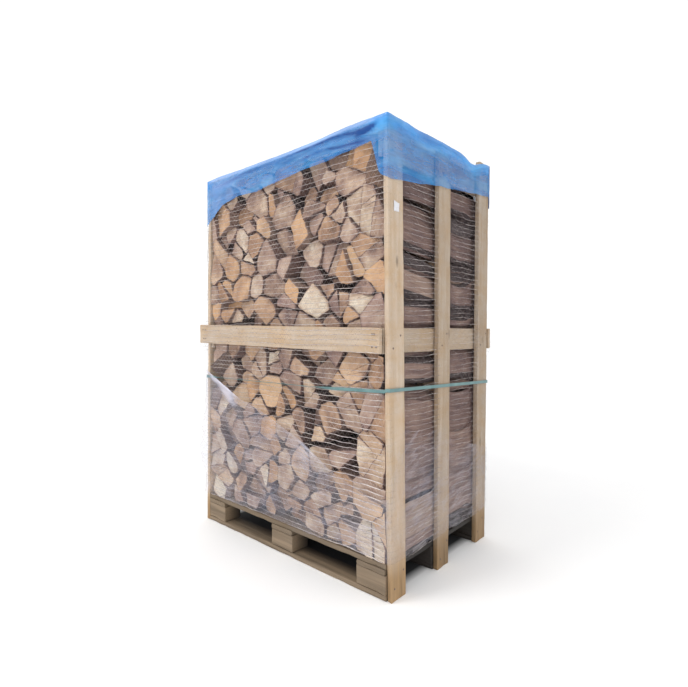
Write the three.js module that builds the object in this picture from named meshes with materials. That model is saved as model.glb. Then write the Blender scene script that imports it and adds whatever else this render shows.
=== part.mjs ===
// A palletised crate of split firewood: a 1200 x 800 pallet, six upright posts and their rails,
// two rows of stacked logs, and the film cap, net, strap and stretch film that hold the load.
// Millimetres, +Z up, X along the long side, Y across it. The origin is at the middle of the base.
import * as THREE from "three";

// ---- Driving dimensions ----
const PALLET_LENGTH = 1200;
const PALLET_WIDTH = 800;
const BOARD = 22; // thickness of every sawn board
const BLOCK_HEIGHT = 78;
const WIDE_BOARD = 145;
const NARROW_BOARD = 100;
const CRATE_HEIGHT = 1830;
const MIDDLE_POST_DROP = 40; // the middle posts end this far under the corner posts
const POST_WIDTH = 100;
const RAIL_WIDTH = 100;
const POST_LINE = 350; // how far the corner posts' middles are from the crate's centre line
const END_RAIL_LENGTH = 788;
const MID_RAIL_LOW = 940; // underside of the mid-height rails at the right-hand end
const MID_RAIL_RISE = 26; // what the long rails climb towards the left-hand end
const TOP_RAIL_LOW = 1680;
const STACK_TOP = 1780;
const TIERS = 10;
const SKIN = 0.8; // thickness of the net, the films and the strap
const GAP = 0.3; // clearance between boards that touch
const POST_GAP = 3; // clearance between an upright rail and the leaning posts that carry it
const STRAP_WIDTH = 16;

const HALF_LENGTH = PALLET_LENGTH / 2;
const HALF_WIDTH = PALLET_WIDTH / 2;
const DECK_TOP = 3 * BOARD + BLOCK_HEIGHT;

// Where each layer lies outside the posts, from the film cap outwards.
const CAP_OFFSET = 0.5;
const NET_OFFSET = 2.2;
const STRAP_OFFSET = 3.8;
const FILM_OFFSET = 5.4;

// The posts lean a little, because nothing squares them once they are nailed on. foot and top give
// how far the foot and the top stand off the post's nominal place, as [x, y]; side is the end of the
// pallet that the post is nailed to.
const POSTS = [
  { name: "post_right_front", side: 1, y: -POST_LINE, foot: [2, 4], top: [-10, 0], drop: 0 },
  { name: "post_right_middle", side: 1, y: 0, foot: [0, -10], top: [1, 0], drop: MIDDLE_POST_DROP },
  { name: "post_right_back", side: 1, y: POST_LINE, foot: [0, -6], top: [14, -3], drop: 0 },
  { name: "post_left_front", side: -1, y: -POST_LINE, foot: [-4, 0], top: [40, 0], drop: 0 },
  { name: "post_left_middle", side: -1, y: 0, foot: [-4, 6], top: [36, 0], drop: MIDDLE_POST_DROP },
  { name: "post_left_back", side: -1, y: POST_LINE, foot: [-4, -4], top: [30, -3], drop: 0 },
];

// ---- Materials ----
const paint = (color, roughness) => new THREE.MeshStandardMaterial({ color, roughness, metalness: 0 });
const newPine = () => paint(0xd9b98c, 0.75);
const palletWood = () => paint(0xb59a72, 0.85);
const firewood = () => paint(0xa9835c, 0.9);
const clearSkin = (color, opacity, roughness) =>
  new THREE.MeshStandardMaterial({ color, roughness, metalness: 0, transparent: true, opacity });

const crate = new THREE.Group();

/** Adds one named piece to a group. */
function addPiece(group, name, geometry, material) {
  const mesh = new THREE.Mesh(geometry, material);
  mesh.name = name;
  group.add(mesh);
  return mesh;
}

/** A board given by its size along X, Y and Z and by the middle of its underside. */
function addBoard(group, name, size, x, y, low, material) {
  const mesh = addPiece(group, name, new THREE.BoxGeometry(...size), material);
  mesh.position.set(x, y, low + size[2] / 2);
  return mesh;
}

// ---- Pallet ----
function makePallet() {
  const pallet = new THREE.Group();
  const blockX = HALF_LENGTH - WIDE_BOARD / 2;
  const columns = [["left", -blockX], ["middle", 0], ["right", blockX]];
  const rows = [
    ["front", -HALF_WIDTH + NARROW_BOARD / 2, NARROW_BOARD],
    ["middle", 0, WIDE_BOARD],
    ["back", HALF_WIDTH - NARROW_BOARD / 2, NARROW_BOARD],
  ];
  const blockLow = BOARD;
  const stringerLow = blockLow + BLOCK_HEIGHT;
  const deckLow = stringerLow + BOARD;

  for (const [row, y, width] of rows) {
    addBoard(pallet, "bottom_board_" + row, [PALLET_LENGTH, width, BOARD - GAP], 0, y, 0, palletWood());
    for (const [column, x] of columns) {
      const size = [WIDE_BOARD, width, BLOCK_HEIGHT - GAP];
      addBoard(pallet, "block_" + row + "_" + column, size, x, y, blockLow, palletWood());
    }
  }
  for (const [column, x] of columns) {
    const size = [WIDE_BOARD, PALLET_WIDTH, BOARD - GAP];
    addBoard(pallet, "stringer_" + column, size, x, 0, stringerLow, palletWood());
  }
  const deckWidths = [WIDE_BOARD, NARROW_BOARD, WIDE_BOARD, NARROW_BOARD, WIDE_BOARD];
  const boardsWide = deckWidths.reduce((sum, width) => sum + width, 0);
  const deckSpace = (PALLET_WIDTH - boardsWide) / (deckWidths.length - 1);
  let edge = -HALF_WIDTH;
  deckWidths.forEach((width, i) => {
    const size = [PALLET_LENGTH, width, BOARD - GAP];
    addBoard(pallet, "deck_board_" + (i + 1), size, 0, edge + width / 2, deckLow, palletWood());
    edge += width + deckSpace;
  });
  return pallet;
}

// ---- Posts ----
/** How far a post stands off its nominal place at a height, as [x, y]. */
function postShift(post, z) {
  const t = z / CRATE_HEIGHT;
  return [0, 1].map((axis) => post.foot[axis] + (post.top[axis] - post.foot[axis]) * t);
}

/** A post is a plain board on end whose layers are slid sideways in step with their height. */
function postGeometry(post) {
  const height = CRATE_HEIGHT - post.drop;
  const geometry = new THREE.BoxGeometry(BOARD, POST_WIDTH, height);
  geometry.translate(post.side * (HALF_LENGTH + GAP + BOARD / 2), post.y, height / 2);
  const at = geometry.getAttribute("position");
  for (let i = 0; i < at.count; i++) {
    const [dx, dy] = postShift(post, at.getZ(i));
    at.setXY(i, at.getX(i) + dx, at.getY(i) + dy);
  }
  return geometry;
}

const findPost = (side, y) => POSTS.find((post) => post.side === side && post.y === y);

/** The x of the inner face of an end's posts at a height, on the straight line from front to back. */
function innerFace(side, y, z) {
  const [front, back] = [-POST_LINE, POST_LINE].map((postY) => postShift(findPost(side, postY), z)[0]);
  const t = (y + POST_LINE) / (2 * POST_LINE);
  return side * (HALF_LENGTH + GAP) + front + (back - front) * t;
}

// ---- Rails ----
/** A rail across one end, inside the posts. It stands upright and follows their line. */
function endRailGeometry(side, low) {
  const geometry = new THREE.BoxGeometry(BOARD, END_RAIL_LENGTH, RAIL_WIDTH);
  geometry.translate(0, 0, low + RAIL_WIDTH / 2);
  const at = geometry.getAttribute("position");
  for (let i = 0; i < at.count; i++) {
    const face = innerFace(side, at.getY(i), low + RAIL_WIDTH / 2);
    at.setX(i, face - side * (POST_GAP + BOARD / 2) + at.getX(i));
  }
  return geometry;
}

// The long rails lie outside the corner posts. from and to are their ends along X.
const LONG_RAILS = [
  { name: "mid_rail_front", side: -1, from: -641, to: 589 },
  { name: "mid_rail_back", side: 1, from: -630, to: 633 },
];
const LONG_RAIL_OUTSIDE = HALF_WIDTH + 0.6 + BOARD;

/** The underside of a long rail at a place along X. */
const longRailLow = (x) => MID_RAIL_LOW + (MID_RAIL_RISE * (HALF_LENGTH - x)) / PALLET_LENGTH;

function longRailGeometry(rail) {
  const geometry = new THREE.BoxGeometry(rail.to - rail.from, BOARD, RAIL_WIDTH);
  const y = rail.side * (LONG_RAIL_OUTSIDE - BOARD / 2);
  geometry.translate((rail.from + rail.to) / 2, y, RAIL_WIDTH / 2);
  const at = geometry.getAttribute("position");
  for (let i = 0; i < at.count; i++) {
    at.setZ(i, at.getZ(i) + longRailLow(at.getX(i)));
  }
  return geometry;
}

function makeFrame() {
  const frame = new THREE.Group();
  for (const post of POSTS) addPiece(frame, post.name, postGeometry(post), newPine());
  for (const rail of LONG_RAILS) addPiece(frame, rail.name, longRailGeometry(rail), newPine());
  for (const [end, side] of [["right", 1], ["left", -1]]) {
    addPiece(frame, "mid_rail_" + end, endRailGeometry(side, MID_RAIL_LOW), newPine());
    addPiece(frame, "top_rail_" + end, endRailGeometry(side, TOP_RAIL_LOW), newPine());
  }
  return frame;
}

// ---- Firewood ----
// Two rows of logs lie across the pallet, end to end. Each row is stacked in tiers; a tier's solid
// holds the logs of one course, out to their sawn ends and to the uneven line where courses meet.
const LOG_ROWS = [
  { name: "front", low: -394, high: -6, phase: 0 },
  { name: "back", low: 6, high: 388, phase: 1.9 },
];
const TIER_HEIGHT = (STACK_TOP - DECK_TOP) / TIERS;
const TIER_GAP = 0.8;
const STATION = 100; // spacing along X of the corners in the uneven line between two tiers
const SWELL = 9; // the long and the short waves of that line, as half their height
const RIPPLE = 5;
const LOG_CLEARANCE = 3; // left between the logs and the posts or rails that hold them

/** The height of the uneven line between two tiers: straight from station to station, flat on the deck. */
function courseLine(index, x, phase) {
  if (index === 0) return DECK_TOP;
  const swell = (station) =>
    SWELL * Math.sin(1.05 * station + 2.1 * index + phase) + RIPPLE * Math.sin(2.4 * station);
  const station = Math.floor(x / STATION);
  const t = x / STATION - station;
  return DECK_TOP + index * TIER_HEIGHT + swell(station) * (1 - t) + swell(station + 1) * t;
}

/** The ends of a tier along X: inside the posts, or inside the end rails where it is level with one. */
function tierEnds(index) {
  const low = DECK_TOP + index * TIER_HEIGHT - SWELL - RIPPLE;
  const high = DECK_TOP + (index + 1) * TIER_HEIGHT + SWELL + RIPPLE;
  const meetsRail = [MID_RAIL_LOW, TOP_RAIL_LOW].some((rail) => high > rail && low < rail + RAIL_WIDTH);
  const inset = LOG_CLEARANCE + (meetsRail ? POST_GAP + BOARD : 0);
  const reach = (side) => {
    const faces = [low, high].flatMap((z) => [-HALF_WIDTH, HALF_WIDTH].map((y) => innerFace(side, y, z)));
    return side > 0 ? Math.min(...faces) - inset : Math.max(...faces) + inset;
  };
  return [reach(-1), reach(1)];
}

function tierGeometry(row, index) {
  const [left, right] = tierEnds(index);
  const along = [left];
  for (let x = Math.ceil(left / STATION) * STATION; x < right; x += STATION) along.push(x);
  along.push(right);
  const lower = along.map((x) => new THREE.Vector2(x, courseLine(index, x, row.phase) + TIER_GAP));
  const upper = along.map((x) => new THREE.Vector2(x, courseLine(index + 1, x, row.phase)));
  const outline = new THREE.Shape([...lower, ...upper.reverse()]);
  const depth = row.high - row.low;
  const geometry = new THREE.ExtrudeGeometry(outline, { depth, bevelEnabled: false });
  geometry.rotateX(Math.PI / 2);
  geometry.translate(0, row.high, 0);
  return geometry;
}

function makeFirewood() {
  const load = new THREE.Group();
  for (const row of LOG_ROWS) {
    for (let i = 0; i < TIERS; i++) {
      const number = String(i + 1).padStart(2, "0");
      addPiece(load, "logs_" + row.name + "_tier_" + number, tierGeometry(row, i), firewood());
    }
  }
  return load;
}

// ---- Wraps ----
// Every wrap follows one ring of points round the crate. On the ends it lies on the outer faces of the
// posts. On the long sides it runs between the corner posts, pushed out a little by the log ends. At
// the mid-height rails its corners move out to the ends of the long rails.
const LOG_BULGE = 6;
const RAIL_ZONE = [MID_RAIL_LOW - 6, MID_RAIL_LOW + MID_RAIL_RISE + RAIL_WIDTH + 8];
const RAIL_SLOPE = 10; // height over which a wrap climbs from the posts to the rails
const CORNER_FACE = 12; // width of the flat a wrap has on an end beside each corner

/** The two upright edges of a post's outer face at a height, front edge first, as [x, y]. */
function outerEdges(post, z) {
  const [dx, dy] = postShift(post, z);
  const x = post.side * (HALF_LENGTH + GAP + BOARD) + dx;
  return [-1, 1].map((edge) => [x, post.y + dy + (edge * POST_WIDTH) / 2]);
}

/** 1 where a wrap runs over the long rails, 0 where it lies on the posts. */
function overRail(z) {
  const below = (z - RAIL_ZONE[0] + RAIL_SLOPE) / RAIL_SLOPE;
  const above = (RAIL_ZONE[1] + RAIL_SLOPE - z) / RAIL_SLOPE;
  return Math.min(1, Math.max(0, Math.min(below, above)));
}

/** How far out along X a wrap's corner is: at a corner post's edge, or at the end of a long rail. */
function cornerReach(end, side, z) {
  const [x] = outerEdges(findPost(end, side * POST_LINE), z)[0];
  const rail = LONG_RAILS.find((r) => r.side === side);
  const reach = end * Math.max(end * x, end * (end > 0 ? rail.to : rail.from));
  return x + (reach - x) * overRail(z);
}

/** The corner of a wrap at a height, on the posts or out on the long rail. */
function cornerPoint(end, side, z) {
  const y = outerEdges(findPost(end, side * POST_LINE), z)[side < 0 ? 0 : 1][1];
  return [cornerReach(end, side, z), y + (side * LONG_RAIL_OUTSIDE - y) * overRail(z)];
}

/** The wrap's points along one long side, from the left corner to the right one. */
function longPoints(side, z, count) {
  const ends = [-1, 1].map((end) => cornerPoint(end, side, z));
  const face = side < 0 ? "front" : "back";
  return Array.from({ length: count }, (_, i) => {
    const along = i / (count - 1);
    const push = side * LOG_BULGE * (1 - overRail(z)) * Math.sin(Math.PI * along);
    const [x, y] = [0, 1].map((axis) => ends[0][axis] + (ends[1][axis] - ends[0][axis]) * along);
    const turn = i === 0 ? -1 : i === count - 1 ? 1 : 0;
    return { x, y: y + push, out: [turn, side], face, along };
  });
}

/** The wrap's points along one end, from front to back, between its corners. */
function endPoints(end, z) {
  const edges = POSTS.filter((post) => post.side === end).flatMap((post) => outerEdges(post, z));
  const besideCorner = (side, [, y]) => [cornerReach(end, side, z), y - side * CORNER_FACE];
  const points = [besideCorner(-1, edges[0]), ...edges.slice(1, -1), besideCorner(1, edges.at(-1))];
  const face = end > 0 ? "right" : "left";
  return points.map(([x, y]) => ({ x, y, out: [end, 0], face, along: (y + HALF_WIDTH) / PALLET_WIDTH }));
}

/** The ring of a wrap at a height, anticlockwise from above, starting at the left front corner. */
function wrapRing(z) {
  const front = longPoints(-1, z, 7);
  const back = longPoints(1, z, 7).reverse();
  return [...front, ...endPoints(1, z), ...back, ...endPoints(-1, z).reverse()];
}

/** One point of the ring, at a height of its own and at a distance outside the posts. */
function wrapPoint(index, z, offset) {
  const { x, y, out } = wrapRing(z)[index];
  return [x + out[0] * offset, y + out[1] * offset, z];
}

const BASE_RING = wrapRing(DECK_TOP);
const ring = (pointAt) => BASE_RING.map((_, i) => pointAt(i));

/** Reads a profile, given as evenly spaced values for each face, at one point of the ring. */
function profileAt(profile, index) {
  const { face, along } = BASE_RING[index];
  const values = profile[face];
  const place = Math.min(1, Math.max(0, along)) * (values.length - 1);
  const step = Math.min(values.length - 2, Math.floor(place));
  return values[step] + (values[step + 1] - values[step]) * (place - step);
}

/** Joins rings of equal length, each one the next along the surface, into one sheet of triangles. */
function joinRings(rings, closed) {
  const count = BASE_RING.length;
  const index = [];
  const strips = closed ? rings.length : rings.length - 1;
  for (let r = 0; r < strips; r++) {
    const next = (r + 1) % rings.length;
    for (let i = 0; i < count; i++) {
      const j = (i + 1) % count;
      const [a, b, c, d] = [r * count + i, r * count + j, next * count + j, next * count + i];
      index.push(a, b, c, a, c, d);
    }
  }
  return index;
}

function meshOf(points, index) {
  const geometry = new THREE.BufferGeometry();
  geometry.setAttribute("position", new THREE.Float32BufferAttribute(points.flat(), 3));
  geometry.setIndex(index);
  return geometry;
}

/** A tube round the crate. levels gives, for each ring point, its heights from bottom to top. */
function tubeGeometry(levels, offset) {
  const wall = (distance) =>
    levels(0).map((_, row) => ring((i) => wrapPoint(i, levels(i)[row], distance)));
  const rings = [...wall(offset).reverse(), ...wall(offset + SKIN)];
  return meshOf(rings.flat(), joinRings(rings, true));
}

// The net runs from the deck to just under the top.
const NET_LOW = DECK_TOP + 2;
const NET_HIGH = CRATE_HEIGHT - 12;
const NET_LEVELS = [
  ...[NET_LOW, 500, RAIL_ZONE[0] - RAIL_SLOPE],
  ...RAIL_ZONE,
  ...[RAIL_ZONE[1] + RAIL_SLOPE, 1300, 1500, 1650, 1770, NET_HIGH],
];

// The strap goes round level, under the mid-height rails.
const STRAP_MIDDLE = 790;

// The stretch film is a band round the lower half. FILM_TOP is the height of its upper edge.
const FILM_LOW = DECK_TOP + 4;
const FILM_TOP = {
  front: [864, 720, 630, 540, 430, 360],
  right: [360, 500, 600, 560, 480],
  back: [860, 800, 720, 640, 560, 480],
  left: [864, 880, 860],
};

// The film cap lies over the posts and the load. CAP_DROP is how far its hem hangs below the top.
const CAP_DROP = {
  front: [235, 132, 136, 117, 104, 100, 240],
  right: [240, 190, 152],
  back: [240, 140, 120, 120, 130, 140, 160],
  left: [235, 190, 240],
};
const CAP_SAG = [[0.95, 0], [0.6, 7], [0.25, 11]]; // share of the way out to the edge, and how far down
const CAP_BEND = 60; // depth of the skirt's upper band, which every hem is below

/** The cap's outer wall and inner wall, each a stack of rings from the hem to the middle of the top. */
function capGeometry() {
  const wall = (distance) => {
    const hung = [(i) => profileAt(CAP_DROP, i), () => CAP_BEND, () => 0];
    const skirt = hung.map((drop) => ring((i) => wrapPoint(i, CRATE_HEIGHT - drop(i), distance)));
    const top = [[1, 0], ...CAP_SAG].map(([share, down]) =>
      ring((i) => {
        const [x, y] = wrapPoint(i, CRATE_HEIGHT, 0);
        return [x * share, y * share, CRATE_HEIGHT - down + distance];
      }),
    );
    return [...skirt, ...top];
  };
  const inside = wall(CAP_OFFSET);
  const outside = wall(CAP_OFFSET + SKIN);
  const rings = [...inside.slice().reverse(), ...outside];
  const index = joinRings(rings, false);
  const points = rings.flat();
  const [innerMiddle, outerMiddle] = [points.length, points.length + 1];
  const lastRing = points.length - BASE_RING.length;
  points.push([0, 0, inside.at(-1)[0][2]], [0, 0, outside.at(-1)[0][2]]);
  BASE_RING.forEach((_, i) => {
    const j = (i + 1) % BASE_RING.length;
    index.push(innerMiddle, j, i, outerMiddle, lastRing + i, lastRing + j);
  });
  return meshOf(points, index);
}

function makeWraps() {
  const wraps = new THREE.Group();
  const strapLevels = () => [STRAP_MIDDLE - STRAP_WIDTH / 2, STRAP_MIDDLE + STRAP_WIDTH / 2];
  const filmLevels = (i) => {
    const top = profileAt(FILM_TOP, i);
    return [FILM_LOW, (FILM_LOW + top) / 2, top];
  };
  addPiece(wraps, "film_cap", capGeometry(), clearSkin(0x4f93ea, 0.7, 0.3));
  addPiece(wraps, "net_wrap", tubeGeometry(() => NET_LEVELS, NET_OFFSET), clearSkin(0xffffff, 0.35, 0.6));
  addPiece(wraps, "strap", tubeGeometry(strapLevels, STRAP_OFFSET), paint(0x4e8f92, 0.45));
  addPiece(wraps, "stretch_film", tubeGeometry(filmLevels, FILM_OFFSET), clearSkin(0xe9ecf5, 0.3, 0.2));
  return wraps;
}

crate.add(makePallet(), makeFrame(), makeFirewood(), makeWraps());

// The origin goes to the middle of the crate's own box, on the ground.
const extent = new THREE.Box3().setFromObject(crate);
const centre = extent.getCenter(new THREE.Vector3());
crate.position.set(-centre.x, -centre.y, -extent.min.z);

export default crate;
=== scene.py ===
"""A palletised crate of split firewood under a film cap, net, strap and stretch film.

Metres, +Z up, X along the crate's long side. The boards, posts and rails take their places from the
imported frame; the logs, the net and the films are worked out here, inside the solids that stand for them.
"""

import math

import bpy
import numpy as np
from mathutils import Matrix, Vector


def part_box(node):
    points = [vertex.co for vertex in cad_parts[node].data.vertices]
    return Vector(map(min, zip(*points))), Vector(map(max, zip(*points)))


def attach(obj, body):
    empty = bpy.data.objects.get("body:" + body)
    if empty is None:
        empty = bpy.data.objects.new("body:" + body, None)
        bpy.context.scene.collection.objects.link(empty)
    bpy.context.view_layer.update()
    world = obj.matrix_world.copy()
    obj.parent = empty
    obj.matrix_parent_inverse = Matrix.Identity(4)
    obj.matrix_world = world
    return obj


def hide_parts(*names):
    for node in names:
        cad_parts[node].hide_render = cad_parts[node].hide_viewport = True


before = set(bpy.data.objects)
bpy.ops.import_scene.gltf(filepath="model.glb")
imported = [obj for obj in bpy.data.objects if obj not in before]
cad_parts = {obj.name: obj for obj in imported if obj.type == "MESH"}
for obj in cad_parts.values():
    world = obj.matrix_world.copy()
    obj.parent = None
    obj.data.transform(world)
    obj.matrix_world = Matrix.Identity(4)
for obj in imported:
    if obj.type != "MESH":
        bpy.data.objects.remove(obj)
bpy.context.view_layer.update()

# ---- Sizes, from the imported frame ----
ROWS = ("front", "middle", "back")
POSTS = {(end, row): f"post_{end}_{row}" for end in ("left", "right") for row in ROWS}
DECK_TOP = float(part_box("deck_board_1")[1][2])
CRATE_TOP = float(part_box("post_right_front")[1][2])
STACK_TOP = float(max(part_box(f"logs_{row}_tier_10")[1][2] for row in ("front", "back")))
LOG_FRONT = float(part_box("logs_front_tier_01")[0][1])
LOG_JOIN = float(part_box("logs_front_tier_01")[1][1])
LOG_BACK = float(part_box("logs_back_tier_01")[1][1])
STRAP_HEIGHT = float(sum(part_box("strap")[i][2] for i in (0, 1)) / 2)

# ---- Camera, lights and floor ----
CAMERA_PLACE = (1.6662, -1.8092, 1.0241)
CAMERA_HEADING = math.radians(132.004)
CAMERA_PITCH = math.radians(-1.401)
CAMERA_ROLL = math.radians(-0.207)
CAMERA_LENS = 24.666
WORLD_STRENGTH = 1.08  # over 1, so that the open floor is as white as the world
LIGHT_COLOUR = (1.0, 0.99, 0.98)


def place_camera():
    """A level-standing camera: forward from its heading and pitch, right and up turned by its roll."""
    forward = Vector((math.cos(CAMERA_HEADING) * math.cos(CAMERA_PITCH),
                      math.sin(CAMERA_HEADING) * math.cos(CAMERA_PITCH), math.sin(CAMERA_PITCH)))
    right = forward.cross(Vector((0, 0, 1))).normalized()
    up = right.cross(forward)
    across = right * math.cos(CAMERA_ROLL) + up * math.sin(CAMERA_ROLL)
    above = up * math.cos(CAMERA_ROLL) - right * math.sin(CAMERA_ROLL)
    data = bpy.data.cameras.new("camera")
    data.lens = CAMERA_LENS
    data.sensor_width = 36
    data.clip_end = 200
    camera = bpy.data.objects.new("camera", data)
    turn = Matrix((across, above, -forward)).transposed().to_4x4()
    camera.matrix_world = Matrix.Translation(CAMERA_PLACE) @ turn
    bpy.context.scene.collection.objects.link(camera)
    bpy.context.scene.camera = camera


def add_light(name, place, aim, size, power):
    """A square lamp at place that points at aim."""
    data = bpy.data.lights.new(name, "AREA")
    data.energy = power
    data.size = size
    data.color = LIGHT_COLOUR
    lamp = bpy.data.objects.new(name, data)
    lamp.matrix_world = Matrix.Translation(place) @ (
        (Vector(aim) - Vector(place)).to_track_quat("-Z", "Y").to_matrix().to_4x4()
    )
    bpy.context.scene.collection.objects.link(lamp)


def light_the_scene():
    """White surroundings, a key light from the front and above, and a weak fill at the right end."""
    world = bpy.data.worlds.new("studio")
    world.use_nodes = True
    sky = world.node_tree.nodes["Background"]
    sky.inputs["Color"].default_value = (1.0, 1.0, 1.0, 1)
    sky.inputs["Strength"].default_value = WORLD_STRENGTH
    bpy.context.scene.world = world
    add_light("key", (-0.9, -2.9, 5.0), (0, 0, 0.7), 1.4, 80)
    add_light("fill", (2.3, -2.5, 1.9), (0.5, -0.3, 0.8), 1.2, 9)
    scene = bpy.context.scene
    scene.view_settings.view_transform = "Standard"
    scene.view_settings.look = "None"
    scene.cycles.transparent_max_bounces = 32


# ---- Arrays and meshes ----
def waves(points, count, shortest, longest, rng):
    """Smooth noise near -1..1: the scaled sum of sines along random directions of random wavelengths."""
    axes = rng.normal(size=(count, points.shape[-1]))
    axes /= np.linalg.norm(axes, axis=1, keepdims=True)
    axes *= 2 * np.pi / rng.uniform(shortest, longest, (count, 1))
    phase = rng.uniform(0, 2 * np.pi, count)
    return np.sin(points @ axes.T + phase).sum(axis=-1) / math.sqrt(count)


def smooth_step(value):
    """0 below 0, 1 above 1 and an S-curve between."""
    t = np.clip(value, 0, 1)
    return t * t * (3 - 2 * t)


def stacked(*parts):
    """Arrays broadcast to one shape and stacked along a new last axis."""
    return np.stack(np.broadcast_arrays(*parts), axis=-1)


def directions(angles):
    """Unit vectors at the angles."""
    return np.stack([np.cos(angles), np.sin(angles)], axis=-1)


def bump_at(value, middle, width):
    """A bell of height 1 at middle that fades over width."""
    return np.exp(-(((value - middle) / width) ** 2))


def make_piece(name, points, faces, material, replaces=(), uv=None, values=None, smooth=True):
    """A mesh object from arrays: faces is a list of index arrays, one for each number of corners, uv has a
    row for each face corner in that order, and values are numbers kept on each face or on each point."""
    mesh = bpy.data.meshes.new(name)
    corners = np.concatenate([f.ravel() for f in faces]).astype(np.int32)
    counts = np.concatenate([np.full(len(f), f.shape[1]) for f in faces])
    starts = np.concatenate([[0], np.cumsum(counts)[:-1]]).astype(np.int32)
    mesh.vertices.add(len(points))
    mesh.vertices.foreach_set("co", np.ascontiguousarray(points, dtype=np.float32).ravel())
    mesh.loops.add(len(corners))
    mesh.loops.foreach_set("vertex_index", corners)
    mesh.polygons.add(len(counts))
    mesh.polygons.foreach_set("loop_start", starts)
    mesh.polygons.foreach_set("use_smooth", np.full(len(counts), smooth))
    if uv is not None:
        layer = mesh.uv_layers.new(name="UVMap")
        layer.data.foreach_set("uv", np.ascontiguousarray(uv, dtype=np.float32).ravel())
    for key, numbers in (values or {}).items():
        layer = mesh.attributes.new(key, "FLOAT", "POINT" if len(numbers) == len(points) else "FACE")
        layer.data.foreach_set("value", np.ascontiguousarray(numbers, dtype=np.float32))
    mesh.update(calc_edges=True)
    mesh.materials.append(material)
    piece = bpy.data.objects.new(name, mesh)
    bpy.context.scene.collection.objects.link(piece)
    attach(piece, "root")
    if replaces:
        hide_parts(*replaces)
    return piece


def distance_round(line):
    """The distance along a closed line at each of its points, and once more back at the first."""
    step = np.linalg.norm(np.diff(line, axis=0, append=line[:1]), axis=1)
    return np.concatenate([[0], np.cumsum(step)])


def grid_quads(count, rows, columns, closed=True):
    """Quads of count separate grids laid one after another, each of rows rings; closed joins each ring."""
    row = np.arange(rows - 1)[:, None]
    column = np.arange(columns if closed else columns - 1)[None, :]
    following = (column + 1) % columns
    quad = np.stack([row * columns + column, row * columns + following,
                     (row + 1) * columns + following, (row + 1) * columns + column], axis=-1)
    starts = np.arange(count)[:, None, None, None] * rows * columns
    return (quad[None] + starts).reshape(-1, 4)


def grid_uv(uv):
    """The uv of grid_quads' corners, from uv [count, rows, columns + 1, 2]."""
    return np.stack([uv[:, :-1, :-1], uv[:, :-1, 1:], uv[:, 1:, 1:], uv[:, 1:, :-1]], axis=3).reshape(-1, 2)


def end_faces(count, rows, columns):
    """The flat faces that close the first and the last ring of each grid."""
    starts = np.arange(count)[:, None] * rows * columns
    ring = np.arange(columns)[None, :]
    return np.concatenate([starts + ring[:, ::-1], starts + (rows - 1) * columns + ring])


def tubes(paths, radius, sides):
    """Closed rings of thin round thread. paths is [count, steps, 3], each one a loop in a nearly level
    plane; the section's two axes are the level outward direction and +Z."""
    ahead = np.roll(paths, -1, axis=1) - np.roll(paths, 1, axis=1)
    ahead /= np.linalg.norm(ahead, axis=2, keepdims=True)
    up = np.array([0.0, 0.0, 1.0])
    out = np.cross(ahead, up)
    out /= np.linalg.norm(out, axis=2, keepdims=True)
    above = np.cross(out, ahead)
    angle = np.arange(sides) * 2 * np.pi / sides
    section = out[:, :, None] * np.cos(angle)[:, None] + above[:, :, None] * np.sin(angle)[:, None]
    return paths[:, :, None] + radius * section


def loop_quads(count, steps, sides):
    """Quads of count closed tubes of steps rings each, facing outwards."""
    step = np.arange(steps)[:, None]
    side = np.arange(sides)[None, :]
    ahead, beside = (step + 1) % steps, (side + 1) % sides
    quad = np.stack([step * sides + side, ahead * sides + side, ahead * sides + beside,
                     step * sides + beside], axis=-1)
    starts = np.arange(count)[:, None, None, None] * steps * sides
    return (quad[None] + starts).reshape(-1, 4)


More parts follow.
